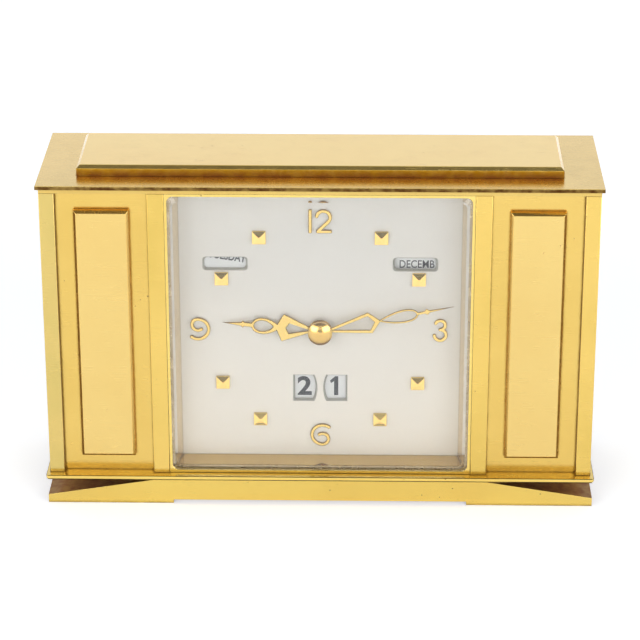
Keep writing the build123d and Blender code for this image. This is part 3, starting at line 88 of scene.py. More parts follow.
# points of a new mesh that are one
SEAM_GAP = 0.001 * MM
# where a cloudy pattern begins and where it is full
CLOUDED = (0.35, 0.75)

Colour = tuple[float, float, float]
SocketKey = Union[str, int]
Value = Union["Wire", float]


def linear(channel: int) -> float:
    """Linear value of a screen channel from 0 to 255."""
    share = channel / 255
    return share / 12.92 if share <= 0.04045 else ((share + 0.055) / 1.055) ** 2.4


def srgb(red: int, green: int, blue: int) -> Colour:
    """Linear channels of a colour as seen on screen, each from 0 to 255."""
    return linear(red), linear(green), linear(blue)


def put(name: str, data: Any) -> Object:
    """Link a new object with that name and data into the scene.

    Args:
        name: The object's name.
        data: Its mesh, curve, light or camera.

    Returns:
        The object.
    """
    thing = bpy.data.objects.new(name, data)
    bpy.context.scene.collection.objects.link(thing)
    return thing


def settle(host: Object) -> Mesh:
    """Turn a working object into the plain mesh that it evaluates to, and remove it.

    Args:
        host: The working object.

    Returns:
        Its mesh.
    """
    graph = bpy.context.evaluated_depsgraph_get()
    mesh = bpy.data.meshes.new_from_object(host.evaluated_get(graph))
    host.modifiers.clear()
    bpy.data.objects.remove(host)
    return mesh


def soften(
    thing: Object, width: float, segments: int = 2, angle: float = 30.0
) -> bpy.types.BevelModifier:
    """Round the edges of a piece or node with a live bevel.

    Args:
        thing: The object.
        width: Width of the rounded edge in metres.
        segments: Faces across it.
        angle: The least turn between two faces that counts as an edge, in degrees.

    Returns:
        The modifier.
    """
    soft = thing.modifiers.new("soft_edge", "BEVEL")
    soft.width = width
    soft.segments = segments
    soft.limit_method = "ANGLE"
    soft.angle_limit = math.radians(angle)
    soft.harden_normals = True
    return soft


class Wire:
    """One output of a node tree; arithmetic on it adds Math nodes."""

    def __init__(self, graph: NodeGraph, socket: bpy.types.NodeSocket | None) -> None:
        """Keep the tree and the socket that this value comes from, or none for a tree's end."""
        self.graph = graph
        self.socket = socket

    def _math(self, operation: str, first: Value, second: Value) -> Wire:
        """Result of one Math node for two values, each a wire or a number."""
        return self.graph.node("ShaderNodeMath", {"operation": operation}, {0: first, 1: second})

    def __add__(self, other: Value) -> Wire:
        """Sum of this and another value."""
        return self._math("ADD", self, other)

    __radd__ = __add__

    def __sub__(self, other: Value) -> Wire:
        """This value less another."""
        return self._math("SUBTRACT", self, other)

    def __rsub__(self, other: Value) -> Wire:
        """Another value less this one."""
        return self._math("SUBTRACT", other, self)

    def __mul__(self, other: Value) -> Wire:
        """Product of this and another value."""
        return self._math("MULTIPLY", self, other)

    __rmul__ = __mul__

    def __abs__(self) -> Wire:
        """Size of this value without its sign."""
        return self._math("ABSOLUTE", self, 0.0)

    def rise(self, start: float, end: float, low: float = 0.0, high: float = 1.0) -> Wire:
        """Ease from one value to another while this one goes from start to end.

        Args:
            start: Where the change begins.
            end: Where it ends; it may be below start.
            low: The result before start.
            high: The result after end.

        Returns:
            The eased value.
        """
        eased = {"interpolation_type": "SMOOTHSTEP"}
        ends = {"From Min": start, "From Max": end, "To Min": low, "To Max": high}
        return self.graph.node("ShaderNodeMapRange", eased, {"Value": self, **ends})


class NodeGraph:
    """A node tree under construction; every node comes from its node method."""

    def __init__(self, tree: bpy.types.NodeTree) -> None:
        """Take the tree that nodes are added to."""
        self.tree = tree

    def node(
        self,
        kind: str,
        settings: dict[str, Any] | None = None,
        values: dict[SocketKey, Any] | None = None,
        out: SocketKey = 0,
    ) -> Wire:
        """Add one node.

        Args:
            kind: The node's type.
            settings: Its own settings, set before its sockets.
            values: A wire or a constant for each named or numbered input.
            out: The output that is wanted.

        Returns:
            That output as a wire.
        """
        made = self.tree.nodes.new(kind)
        for name, value in (settings or {}).items():
            setattr(made, name, value)
        for key, value in (values or {}).items():
            if isinstance(value, Wire):
                self.tree.links.new(value.socket, made.inputs[key])
            else:
                made.inputs[key].default_value = value
        return Wire(self, made.outputs[out] if made.outputs else None)


class GrainWay(Enum):
    """The way that a brushed finish runs, as the stretch of its pattern along X, Y and Z."""

    ACROSS = (40.0, 1500.0, 1500.0)
    DEEP = (1500.0, 40.0, 1500.0)
    UPRIGHT = (1500.0, 1500.0, 40.0)


class Facing(Enum):
    """The way that a piece's main faces look; the other faces take its tarnish, painted shade or
    painted sheen.
    """

    UP = "Z"
    FRONT = "Y"


class MaterialGraph(NodeGraph):
    """The nodes of one material, ending in a Principled shader."""

    def __init__(self, name: str) -> None:
        """Start an empty material.

        Args:
            name: The material's name.
        """
        self.material = bpy.data.materials.new(name)
        self.material.use_nodes = True
        self.material.node_tree.nodes.clear()
        super().__init__(self.material.node_tree)
        self.place = self.node("ShaderNodeTexCoord", out="Object")

    def noise(self, scale: float, detail: float = 4.0, place: Wire | None = None) -> Wire:
        """Soft random pattern between 0 and 1, of so many cells to a metre and finer layers."""
        values = {"Vector": place or self.place, "Scale": scale, "Detail": detail}
        return self.node("ShaderNodeTexNoise", None, {**values, "Roughness": 0.55}, "Fac")

    def axis(self, vector: Wire, name: str) -> Wire:
        """One axis, X, Y or Z, of a vector."""
        return self.node("ShaderNodeSeparateXYZ", None, {0: vector}, name)

    def facing(self, name: str) -> Wire:
        """How squarely a face looks along one axis, from 0 to 1."""
        return abs(self.axis(self.node("ShaderNodeTexCoord", out="Normal"), name))

    def grain(self, way: GrainWay) -> Wire:
        """Brushed lines that run one way."""
        drawn = self.node("ShaderNodeMapping", None, {"Vector": self.place, "Scale": way.value})
        return self.noise(1.0, 5.0, drawn)

    def specks(self, scale: float, size: float) -> Wire:
        """Sparse small spots.

        Args:
            scale: Cells to a metre.
            size: Radius of a spot as a share of a cell.

        Returns:
            1 on a spot and 0 elsewhere.
        """
        cell = {"Vector": self.place, "Scale": scale}
        distance = self.node("ShaderNodeTexVoronoi", None, cell, "Distance")
        chosen = self.noise(scale / 9, 2.0).rise(0.56, 0.66)
        return distance.rise(size, size / 2) * chosen

    def hairlines(self, turn: float, density: float) -> Wire:
        """Fine scratches that cross a surface one way.

        Args:
            turn: Their lean, in radians.
            density: Pattern cells to a metre across them.

        Returns:
            1 on a scratch and 0 elsewhere.
        """
        lean = {"Rotation": (turn, turn, turn), "Scale": (9.0, density, density)}
        drawn = self.node("ShaderNodeMapping", None, {"Vector": self.place, **lean})
        return abs(self.noise(1.0, 1.0, drawn) - 0.5).rise(0.006, 0.0)

    def blend(self, first: Any, second: Any, factor: Value) -> Wire:
        """Mix two colours.

        Args:
            first: Colour at factor 0, as a wire or linear channels.
            second: Colour at factor 1.
            factor: The share of the second colour.

        Returns:
            The mixed colour.
        """
        ends = [c if isinstance(c, Wire) else (*c, 1.0) for c in (first, second)]
        settings = {"data_type": "RGBA", "clamp_factor": True}
        return self.node("ShaderNodeMix", settings, {0: factor, 6: ends[0], 7: ends[1]}, 2)

    def shade(self, reach: float, inside: bool = False) -> Wire:
        """From 0 in the open towards 1 in a corner, or on an edge where inside is set."""
        settings = {"samples": 6, "inside": inside, "only_local": inside}
        return 1.0 - self.node("ShaderNodeAmbientOcclusion", settings, {"Distance": reach}, "AO")

    def bump(self, height: Wire, distance: float, strength: float) -> Wire:
        """The normal bent by a relief of that depth in metres, felt at that strength."""
        values = {"Height": height, "Distance": distance, "Strength": strength}
        return self.node("ShaderNodeBump", None, values, "Normal")

    def surface(self, values: dict[SocketKey, Any]) -> Wire:
        """A Principled shader with a wire or a constant for each input that is set."""
        ready = {k: (*v, 1.0) if isinstance(v, tuple) else v for k, v in values.items()}
        return self.node("ShaderNodeBsdfPrincipled", None, ready)

    def end(self, shader: Wire) -> Material:
        """Put a shader on the surface and give the finished material."""
        self.node("ShaderNodeOutputMaterial", None, {"Surface": shader})
        return self.material

    def finish(self, values: dict[SocketKey, Any]) -> Material:
        """The material, ended in a Principled shader of those inputs."""
        return self.end(self.surface(values))


@dataclass(frozen=True)
class Brass:
    """Brass with cloudy tarnish, brushed grain, specks, scratches, rubbed edges, grime with
    painted shade in corners, and tarnish, painted shade or a painted sheen on faces turned aside.
    """

    name: str
    colour: Colour
    deep: Colour
    dirt_and_shade: Colour = srgb(62, 34, 8)
    bright: Colour = srgb(255, 232, 168)
    roughness: float = 0.22
    haze: float = 0.12
    grain: GrainWay = GrainWay.UPRIGHT
    grain_depth: float = 0.10
    clouding: float = 0.5
    cloud_scale: float = 26.0
    fine_scale: float = 190.0
    mottle_scale: float = 420.0
    scratches: tuple[tuple[float, float], ...] = ((0.5, 420.0), (1.9, 360.0))
    relief: float = 0.05 * MM
    grime_and_shade: float = 0.8
    grime_and_shade_reach: float = 1.6 * MM
    grime_and_shade_span: tuple[float, float] = (0.2, 0.5)
    wear: float = 0.5
    wear_reach: float = 0.5 * MM
    speckle: float = 0.8
    speck_scale: float = 330.0
    speck_size: float = 0.11
    facing: Facing = Facing.UP
    tarnish_shade_and_sheen: Colour = srgb(118, 80, 30)
    side_tarnish_shade_and_sheen: float = 0.0
    bevel_tarnish_and_shade: float = 0.0
    lacquer: float = 1.0

    def build(self) -> Material:
        """Make the material.

        Returns:
            The material.
        """
        g = MaterialGraph(self.name)
        cloud = g.noise(self.cloud_scale, 5.0)
        fine = g.noise(self.fine_scale, 5.0)
        lines = g.grain(self.grain)
        first, second = (g.hairlines(*way) for way in self.scratches)
        scratch = (first + second) * fine.rise(0.45, 0.62)
        corner = g.shade(self.grime_and_shade_reach)
        edge = g.shade(self.wear_reach, True)
        specks = g.specks(self.speck_scale, self.speck_size) * self.speckle
        # grime with painted shade: darker within reach of a corner or a joint between parts
        dirt_and_shade = corner.rise(*self.grime_and_shade_span) * self.grime_and_shade * fine.rise(0.2, 0.6, 0.55, 1.0)
        rubbed = edge.rise(0.25, 0.7) * self.wear * fine.rise(0.3, 0.6)
        colour = g.blend(self.colour, self.deep, cloud.rise(*CLOUDED) * self.clouding)
        colour = g.blend(colour, self.bright, rubbed)
        tarnish_shade_and_sheen = 0.0
        # faces turned from the main way take tarnish, painted shade or a painted sheen; bevels
        # take tarnish with painted shade
        if self.side_tarnish_shade_and_sheen or self.bevel_tarnish_and_shade:
            turned = g.facing(self.facing.value)
            mottle = g.noise(self.mottle_scale, 5.0).rise(0.3, 0.7, 0.8, 1.0)
            slanted = turned.rise(0.995, 0.96) * turned.rise(0.05, 0.2)
            tarnish_shade_and_sheen = turned.rise(0.5, 0.25) * mottle * self.side_tarnish_shade_and_sheen
            tarnish_shade_and_sheen = tarnish_shade_and_sheen + slanted * self.bevel_tarnish_and_shade
            colour = g.blend(colour, self.tarnish_shade_and_sheen, tarnish_shade_and_sheen)
        colour = g.blend(colour, self.dirt_and_shade, dirt_and_shade)
        colour = g.blend(colour, self.dirt_and_shade, specks)
        rough = self.roughness + (fine - 0.5) * self.haze + (lines - 0.5) * self.haze * 0.7
        rough = rough + scratch * 0.12 + specks * 0.3 + dirt_and_shade * 0.2 + tarnish_shade_and_sheen * 0.15
        relief = lines * 0.6 + fine * 0.25 - scratch * 0.5 - specks * 0.8
        return g.finish({
            "Base Color": colour,
            "Metallic": 1.0 - specks * 0.6 - dirt_and_shade * 0.35,
            "Roughness": rough,
            "Normal": g.bump(relief, self.relief, self.grain_depth),
            "Coat Weight": self.lacquer * (1.0 - dirt_and_shade.rise(0.0, 0.5)) * (1.0 - tarnish_shade_and_sheen),
            "Coat Roughness": self.roughness * 0.7,
        })


@dataclass(frozen=True)
class Steel:
    """Bright steel with drawn lines."""

    name: str
    colour: Colour = srgb(196, 197, 200)
    dull: Colour = srgb(142, 140, 138)
    roughness: float = 0.28
    relief: float = 0.04 * MM

    def build(self) -> Material:
        """Make the material.

        Returns:
            The material.
        """
        g = MaterialGraph(self.name)
        lines = g.grain(GrainWay.DEEP)
        blot = g.noise(120.0)
        return g.finish({
            "Base Color": g.blend(self.colour, self.dull, blot.rise(0.4, 0.8)),
            "Metallic": 1.0,
            "Roughness": self.roughness + (lines - 0.5) * 0.2,
            "Normal": g.bump(lines, self.relief, 0.12),
        })


@dataclass(frozen=True)
class Crystal:
    """Clear bevelled glass, faintly handled, with ground edges that have a painted glow."""

    name: str
    half_width: float
    half_height: float
    rim: float = 0.08 * MM
    ground: Colour = srgb(214, 204, 178)
    painted_edge_glow: Colour = (0.42, 0.33, 0.16)

    def build(self) -> Material:
        """Make the material.

        Returns:
            The material.
        """
        g = MaterialGraph(self.name)
        trace = g.noise(60.0, 5.0).rise(0.55, 0.8)
        frost = g.noise(2400.0, 3.0)
        clear = g.surface({
            "Base Color": (1.0, 1.0, 1.0),
            "Roughness": trace * 0.02,
            "IOR": 1.5,
            "Transmission Weight": 1.0,
        })
        # painted glow: the ground edges give off a faint warm light of their own
        edge = g.surface({
            "Base Color": self.ground,
            "Roughness": 0.5 + (frost - 0.5) * 0.3,
            "Emission Color": self.painted_edge_glow,
            "Emission Strength": 1.0,
        })
        aside = abs(g.axis(g.place, "X")) - self.half_width
        above = abs(g.axis(g.place, "Z") - WINDOW_MIDDLE) - self.half_height
        ends = aside.rise(-self.rim, -self.rim / 2) + above.rise(-self.rim, -self.rim / 2)
        both = {0: ends, 1: clear, 2: edge}
        return g.end(g.node("ShaderNodeMixShader", None, both))


@dataclass(frozen=True)
class SilveredDial:
    """Silvered dial plate with a fine frosted surface."""

    name: str
    colour: Colour
    warm: Colour
    shaded: Colour
    rim: Colour = srgb(176, 174, 164)
    grime_and_shade: Colour = srgb(120, 112, 98)
    grime_and_shade_reach: float = 1.2 * MM
    roughness: float = 0.42
    relief: float = 0.02 * MM
    fade: tuple[float, float] = (14.0 * MM, 108.0 * MM)

    def build(self) -> Material:
        """Make the material.

        Returns:
            The material.
        """
        g = MaterialGraph(self.name)
        frost = g.noise(3200.0, 3.0)
        cloud = g.noise(18.0, 3.0)
        # grime with painted shade in the corners about the windows
        corner = g.shade(self.grime_and_shade_reach).rise(0.25, 0.8)
        cut = g.facing("Y").rise(0.97, 0.85)
        height = g.axis(g.place, "Z")
        colour = g.blend(self.colour, self.warm, cloud.rise(*CLOUDED) * 0.5)
        # painted shade: the dial goes darker towards its top
        colour = g.blend(colour, self.shaded, height.rise(*self.fade))
        # painted shade: the walls and bevels of the windows greyer than the face
        colour = g.blend(colour, self.rim, cut)
        return g.finish({
            "Base Color": g.blend(colour, self.grime_and_shade, corner * 0.35),
            "Roughness": self.roughness + (frost - 0.5) * 0.2,
            "Normal": g.bump(frost, self.relief, 0.15),
        })


@dataclass(frozen=True)
class DiscPaint:
    """Matt paint of the calendar discs, a little cloudy."""

    name: str
    colour: Colour
    shadow: Colour

    def build(self) -> Material:
        """Make the material.

        Returns:
            The material.
        """
        g = MaterialGraph(self.name)
        fibre = g.noise(900.0, 4.0)
        cloud = g.noise(45.0, 3.0)
        return g.finish({
            "Base Color": g.blend(self.colour, self.shadow, cloud.rise(0.4, 0.8) * 0.6),
            "Roughness": 0.55 + (fibre - 0.5) * 0.2,
            "Normal": g.bump(fibre, 0.03 * MM, 0.15),
        })


@dataclass(frozen=True)
class Ink:
    """Printing ink, a little uneven."""

    name: str
    colour: Colour

    def build(self) -> Material:
        """Make the material.

        Returns:
            The material.
        """
        g = MaterialGraph(self.name)
        uneven = g.noise(1400.0, 4.0)
        lighter = tuple(min(1.0, c * 1.9 + 0.02) for c in self.colour)
        return g.finish({
            "Base Color": g.blend(self.colour, lighter, uneven.rise(0.5, 0.85)),
            "Roughness": 0.5 + (uneven - 0.5) * 0.2,
        })


@dataclass(frozen=True)
class Plastic:
    """Moulded plastic with a spark-eroded surface."""

    name: str
    colour: Colour
    roughness: float
    texture: float

    def build(self) -> Material:
        """Make the material.

        Returns:
            The material.
        """
        g = MaterialGraph(self.name)
        spark = g.noise(2600.0, 3.0)
        worn = g.shade(0.6 * MM, True).rise(0.3, 0.8)
        pale = tuple(c * 1.4 + 0.03 for c in self.colour)
        return g.finish({
            "Base Color": g.blend(self.colour, pale, worn * 0.6 + (spark - 0.5) * 0.3),
            "Roughness": self.roughness + (spark - 0.5) * 0.2,
            "Normal": g.bump(spark, 0.05 * MM, self.texture),
        })


@dataclass(frozen=True)
class CellJacket:
    """Plain cell jacket: a dark body, a copper-coloured shoulder and bare steel ends."""

    name: str
    low: float
    high: float
    body: Colour = srgb(46, 50, 60)
    shoulder: Colour = srgb(178, 106, 58)
    steel: Colour = srgb(190, 190, 192)
    scuffed: Colour = srgb(120, 118, 116)
    shoulder_share: float = 0.3
    top_end: tuple[float, float] = (1.9 * MM, 1.7 * MM)
    foot_end: tuple[float, float] = (0.5 * MM, 0.4 * MM)

    def build(self) -> Material:
        """Make the material.

        Returns:
            The material.
        """
        g = MaterialGraph(self.name)
        height = g.axis(g.place, "Z")
        scuff = g.noise(240.0, 5.0)
        length = self.high - self.low
        split = self.high - self.shoulder_share * length
        top = height.rise(split, split + 0.005 * length)
        ends = height.rise(*(self.high - drop for drop in self.top_end))
        ends = ends + height.rise(*(self.low + lift for lift in self.foot_end))
        colour = g.blend(g.blend(self.body, self.shoulder, top), self.steel, ends)
        return g.finish({
            "Base Color": g.blend(colour, self.scuffed, scuff.rise(0.66, 0.8) * 0.5),
            "Metallic": 0.35 * top + ends.rise(0.2, 0.8),
            "Roughness": 0.34 + (scuff - 0.5) * 0.25,
            "Normal": g.bump(scuff, 0.03 * MM, 0.1),
        })


@dataclass(frozen=True)
class FloorPaint:
    """Pale matt floor that glows a little."""

    name: str
    colour: Colour
    glow: float
    glow_tint: Colour = (0.94, 1.0, 1.1)

    def build(self) -> Material:
        """Make the material.

        Returns:
            The material.
        """
        g = MaterialGraph(self.name)
        cloud = g.noise(6.0, 3.0)
        darker = tuple(c * 0.985 for c in self.colour)
        return g.finish({
            "Base Color": g.blend(self.colour, darker, cloud),
            "Roughness": 0.75,
            "Emission Color": self.glow_tint,
            "Emission Strength": self.glow,
        })


Finish = Union[
    Brass, Steel, Crystal, SilveredDial, DiscPaint, Ink, Plastic, CellJacket, FloorPaint
]


@dataclass(frozen=True)
class Finishes:
    """Every finish on the clock, made once and shared by the pieces."""

    gilt: Brass = Brass(
        "satin_gilt", srgb(218, 185, 94), srgb(202, 163, 70),
        dirt_and_shade=srgb(104, 66, 14), grime_and_shade=0.5,
    )
    # painted shade: a narrow dark line where the bezel meets the pilasters and the base
    bezel: Brass = Brass(
        "bezel_gilt", srgb(240, 210, 112), srgb(228, 192, 90),
        dirt_and_shade=srgb(84, 48, 4), grime_and_shade=1.0, grime_and_shade_reach=0.5 * MM, grime_and_shade_span=(0.12, 0.38),
        wear=0.2,
    )
    # painted shade: the foot's faces turned from the front, its sloping top and ends, darker
    # brown
    foot: Brass = Brass(
        "foot_gilt", srgb(228, 196, 92), srgb(216, 178, 75),
        grain=GrainWay.ACROSS, facing=Facing.FRONT, tarnish_shade_and_sheen=srgb(124, 70, 16), side_tarnish_shade_and_sheen=0.95,
    )
    # the base plate's bevelled edges near black: tarnish with painted shade; painted shade in its
    # corners
    base: Brass = Brass(
        "base_gilt", srgb(238, 208, 105), srgb(223, 185, 83),
        grain=GrainWay.ACROSS, dirt_and_shade=srgb(150, 92, 14), grime_and_shade=0.4, grime_and_shade_reach=0.8 * MM,
        tarnish_shade_and_sheen=srgb(58, 36, 12), bevel_tarnish_and_shade=1.0, wear=0.2,
    )
    # painted shade: the pilasters' side faces dark brown, and darker in their joints
    pilaster: Brass = Brass(
        "brushed_pilaster", srgb(231, 195, 96), srgb(210, 177, 72),
        dirt_and_shade=srgb(104, 66, 12), clouding=0.7, grain_depth=0.2, facing=Facing.FRONT,
        tarnish_shade_and_sheen=srgb(88, 54, 6), side_tarnish_shade_and_sheen=0.95,
    )
    dull_pilaster: Brass = replace(
        pilaster,
        name="dull_pilaster", colour=srgb(218, 188, 104), deep=srgb(201, 179, 94), clouding=0.9,
        grain_depth=0.24,
    )
    # painted reflection: the raised panels' ledges orange gold; painted shade in their corners
    raised: Brass = Brass(
        "raised_panel_gilt", srgb(229, 197, 114), srgb(221, 182, 95),
        clouding=0.35, grain_depth=0.06, facing=Facing.FRONT, dirt_and_shade=srgb(140, 84, 6), grime_and_shade=0.45,
        grime_and_shade_reach=0.6 * MM, tarnish_shade_and_sheen=srgb(236, 172, 34), side_tarnish_shade_and_sheen=0.9, bevel_tarnish_and_shade=0.25,
    )
    # painted shade: darker in the corners of the recess where it meets the pilasters
    sheet: Brass = Brass(
        "recess_sheet_gilt", srgb(226, 190, 94), srgb(214, 176, 75),
        dirt_and_shade=srgb(104, 66, 12), clouding=0.6, grime_and_shade=0.9, grime_and_shade_reach=1.1 * MM,
    )
    # the cap's upright edges dark brown: tarnish with painted shade
    top: Brass = Brass(
        "cap_gilt", srgb(246, 209, 111), srgb(222, 190, 92),
        dirt_and_shade=srgb(140, 92, 20), grain=GrainWay.ACROSS, grain_depth=0.24, roughness=0.27,
        grime_and_shade=0.5, grime_and_shade_reach=1.0 * MM, tarnish_shade_and_sheen=srgb(78, 48, 20), side_tarnish_shade_and_sheen=1.0, wear=0.15,
    )
    # painted reflection: the plinth's upright faces olive gold; broad painted shade near its
    # corners
    plinth: Brass = Brass(
        "plinth_gilt", srgb(255, 220, 126), srgb(247, 205, 108),
        grain=GrainWay.ACROSS, grain_depth=0.14, dirt_and_shade=srgb(112, 60, 0), grime_and_shade=1.0,
        grime_and_shade_reach=4.0 * MM, grime_and_shade_span=(0.06, 0.32), tarnish_shade_and_sheen=srgb(178, 134, 6), side_tarnish_shade_and_sheen=1.0,
    )
    polished: Brass = Brass(
        "polished_brass", srgb(254, 222, 124), srgb(242, 200, 98),
        roughness=0.09, haze=0.06, grain_depth=0.03, grime_and_shade=0.4, speckle=0.2,
    )
    # painted sheen: the reveal's upright faces pale cream
    reveal: Brass = Brass(
        "reveal_brass", srgb(206, 174, 94), srgb(190, 156, 82),
        roughness=0.07, haze=0.05, grain=GrainWay.ACROSS, grain_depth=0.05, grime_and_shade=0.5,
        speckle=0.2, tarnish_shade_and_sheen=srgb(246, 230, 198), side_tarnish_shade_and_sheen=0.85,
    )
    # painted shade: the sides and bevels of the hands and numerals dark brown
    hands: Brass = Brass(
        "hand_gilt", srgb(240, 206, 112), srgb(228, 188, 90),
        roughness=0.16, haze=0.08, grain_depth=0.04, grime_and_shade=0.3, speckle=0.3, wear=0.0,
        facing=Facing.FRONT, tarnish_shade_and_sheen=srgb(138, 94, 30), side_tarnish_shade_and_sheen=0.9, bevel_tarnish_and_shade=0.6,
    )
    nut: Brass = Brass(
        "nut_gilt", srgb(228, 186, 92), srgb(208, 162, 68),
        roughness=0.2, haze=0.1, grain_depth=0.06, grime_and_shade=0.6, speckle=0.4, wear=0.0,
    )
    works: Brass = Brass(
        "machined_brass", srgb(214, 180, 104), srgb(186, 148, 76),
        roughness=0.3, grain=GrainWay.ACROSS, grain_depth=0.18, clouding=0.6, lacquer=0.0,
    )
    steel: Steel = Steel("bright_steel")
    glass: Crystal = Crystal("clear_crystal", 50.0 * MM, 49.45 * MM)
    dial: SilveredDial = SilveredDial(
        "silvered_dial", srgb(248, 242, 229), srgb(244, 234, 216), srgb(226, 224, 217)
    )
    disc: DiscPaint = DiscPaint("disc_white", srgb(236, 237, 234), srgb(222, 224, 222))
    ink: Ink = Ink("calendar_ink", srgb(52, 54, 58))
    black: Plastic = Plastic("black_moulding", srgb(32, 32, 35), 0.5, 0.25)
    lead: Plastic = Plastic("lead_insulation", srgb(172, 40, 34), 0.3, 0.05)
    cell: CellJacket = CellJacket("cell_jacket", 35.2 * MM, 85.2 * MM)


class Workshop:
    """Holds the frame and the finishes while the sub-assemblies are built."""

    def __init__(self, frame: dict[str, Any], finishes: Finishes) -> None:
        """Keep the loaded frame; materials are made when first asked for.

        Args:
            frame: The frame, as loaded.
            finishes: The clock's finishes.
        """
        self.nodes: dict[str, Object] = frame["nodes"]
        self.finishes = finishes
        self._made: dict[str, Material] = {}

    def material(self, finish: Finish) -> Material:
        """The material of a finish, made once.

        Args:
            finish: One of the finishes.

        Returns:
            Its material.
        """
        if finish.name not in self._made:
            self._made[finish.name] = finish.build()
        return self._made[finish.name]

    def dress(
        self, names: Sequence[str], finish: Finish,
        edge: float = 0.0, segments: int = 2, crisp: bool = False,
    ) -> None:
        """Give frame nodes a finish and, where wanted, softly rounded edges.

        Args:
            names: The nodes.
            finish: Their finish.
            edge: Width of the rounded edge in metres, or 0 for none.
            segments: Faces across it.
            crisp: Keep the edge's full width on finely curved outlines.
        """
        for name in names:
            node = self.nodes[name]
            node.material_slots[0].material = self.material(finish)
            if edge:
                weld = node.modifiers.new("weld", "WELD")
                weld.merge_threshold = WELD_GAP
                flat = node.modifiers.new("flat", "DECIMATE")
                flat.decimate_type = "DISSOLVE"
                flat.angle_limit = math.radians(FLAT_ANGLE)
                soft = soften(node, edge, segments, EDGE_ANGLE)
                soft.use_clamp_overlap = not crisp
            LOG.info("dressed %s in %s", name, finish.name)

    def piece(
        self, name: str, mesh: Mesh, finish: Finish,
        body: str, replaces: Sequence[str] = (),
    ) -> Object:
        """Add a finished piece to the clock.

        Args:
            name: The piece's name.
            mesh: Its mesh, already in place.
            finish: Its finish.
            body: The body that it rides on.
            replaces: Frame nodes that it stands for.

        Returns:
            The piece's object.
        """
        mesh.name = name
        mesh.materials.clear()
        mesh.materials.append(self.material(finish))
        thing = put(name, mesh)
        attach(thing, body)
        if replaces:
            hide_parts(*replaces)
        LOG.info("made %s with %d faces, on %s", name, len(mesh.polygons), body)
        return thing


class Rule(NodeGraph):
    """A Geometry Nodes tree with named inputs, run once to give a plain mesh."""

    def __init__(self, name: str, inputs: dict[str, Any]) -> None:
        """Start a tree.

        Args:
            name: The tree's name.
            inputs: Each input's name with its value, a float, an int or a material.
        """
        super().__init__(bpy.data.node_groups.new(name, "GeometryNodeTree"))
        kinds = {float: "NodeSocketFloat", int: "NodeSocketInt", Material: "NodeSocketMaterial"}
        face = self.tree.interface
        self._values = {
            face.new_socket(key, in_out="INPUT", socket_type=kinds[type(value)]).identifier: value
            for key, value in inputs.items()
        }
        face.new_socket("Geometry", in_out="OUTPUT", socket_type="NodeSocketGeometry")

    def given(self, key: str) -> Wire:
        """The named input as a wire."""
        return self.node("NodeGroupInput", out=key)

    def vector(self, x: Value = 0.0, y: Value = 0.0, z: Value = 0.0) -> Wire:
        """Three values, each a wire or a number, as one vector."""
        return self.node("ShaderNodeCombineXYZ", None, {"X": x, "Y": y, "Z": z})

    def moved(self, geometry: Wire, shift: Wire) -> Wire:
        """A geometry moved by a vector."""
        values = {"Geometry": geometry, "Translation": shift}
        return self.node("GeometryNodeTransform", None, values)

    def grid(self, width: Wire, height: Wire) -> Wire:
        """A flat rectangle of one face, which also gives four points at its corners."""
        sides = {"Size X": width, "Size Y": height, "Vertices X": 2, "Vertices Y": 2}
        return self.node("GeometryNodeMeshGrid", None, sides)

    def joined(self, *parts: Wire) -> Wire:
        """Join several geometries.

        Args:
            parts: The geometries.

        Returns:
            All of them as one.
        """
        whole = self.node("GeometryNodeJoinGeometry")
        for part in parts:
            self.tree.links.new(part.socket, whole.socket.node.inputs[0])
        return whole

    def extruded(
        self, geometry: Wire, height: Wire, faces: Wire | None = None
    ) -> tuple[Wire, Wire]:
        """Raise faces along their normals.

        Args:
            geometry: The mesh.
            height: How far they rise.
            faces: The faces to raise, or none for all.

        Returns:
            The new mesh and the selection of its raised faces.
        """
        values = {"Mesh": geometry, "Offset Scale": height}
        if faces:
            values["Selection"] = faces
        made = self.node("GeometryNodeExtrudeMesh", None, values)
        return made, Wire(self, made.socket.node.outputs["Top"])

    def mesh(self, geometry: Wire, place: Matrix) -> Mesh:
        """Run the tree and put its result in place.

        Args:
            geometry: The geometry to give out.
            place: Where its origin and axes go.

        Returns:
            A plain mesh in the clock's frame.
        """
        real = self.node("GeometryNodeRealizeInstances", None, {"Geometry": geometry})
        ends = {"Geometry": real, "Material": self.given("Finish")}
        coated = self.node("GeometryNodeSetMaterial", None, ends)
        self.node("NodeGroupOutput", None, {"Geometry": coated})
        host = put("rule_host", bpy.data.meshes.new("rule_host"))
        run = host.modifiers.new("rule", "NODES")
        run.node_group = self.tree
        for identifier, value in self._values.items():
            run[identifier] = value
        made = settle(host)
        made.transform(place)
        return made


def upright(x: float, y: float, z: float, rear: bool = False) -> Matrix:
    """Frame at a point whose Z axis points out of the dial, or out of the back."""
    rows = ((-1, 0, 0), (0, 0, 1), (0, 1, 0)) if rear else ((1, 0, 0), (0, 0, -1), (0, 1, 0))
    return Matrix.Translation((x, y, z)) @ Matrix(rows).to_4x4()


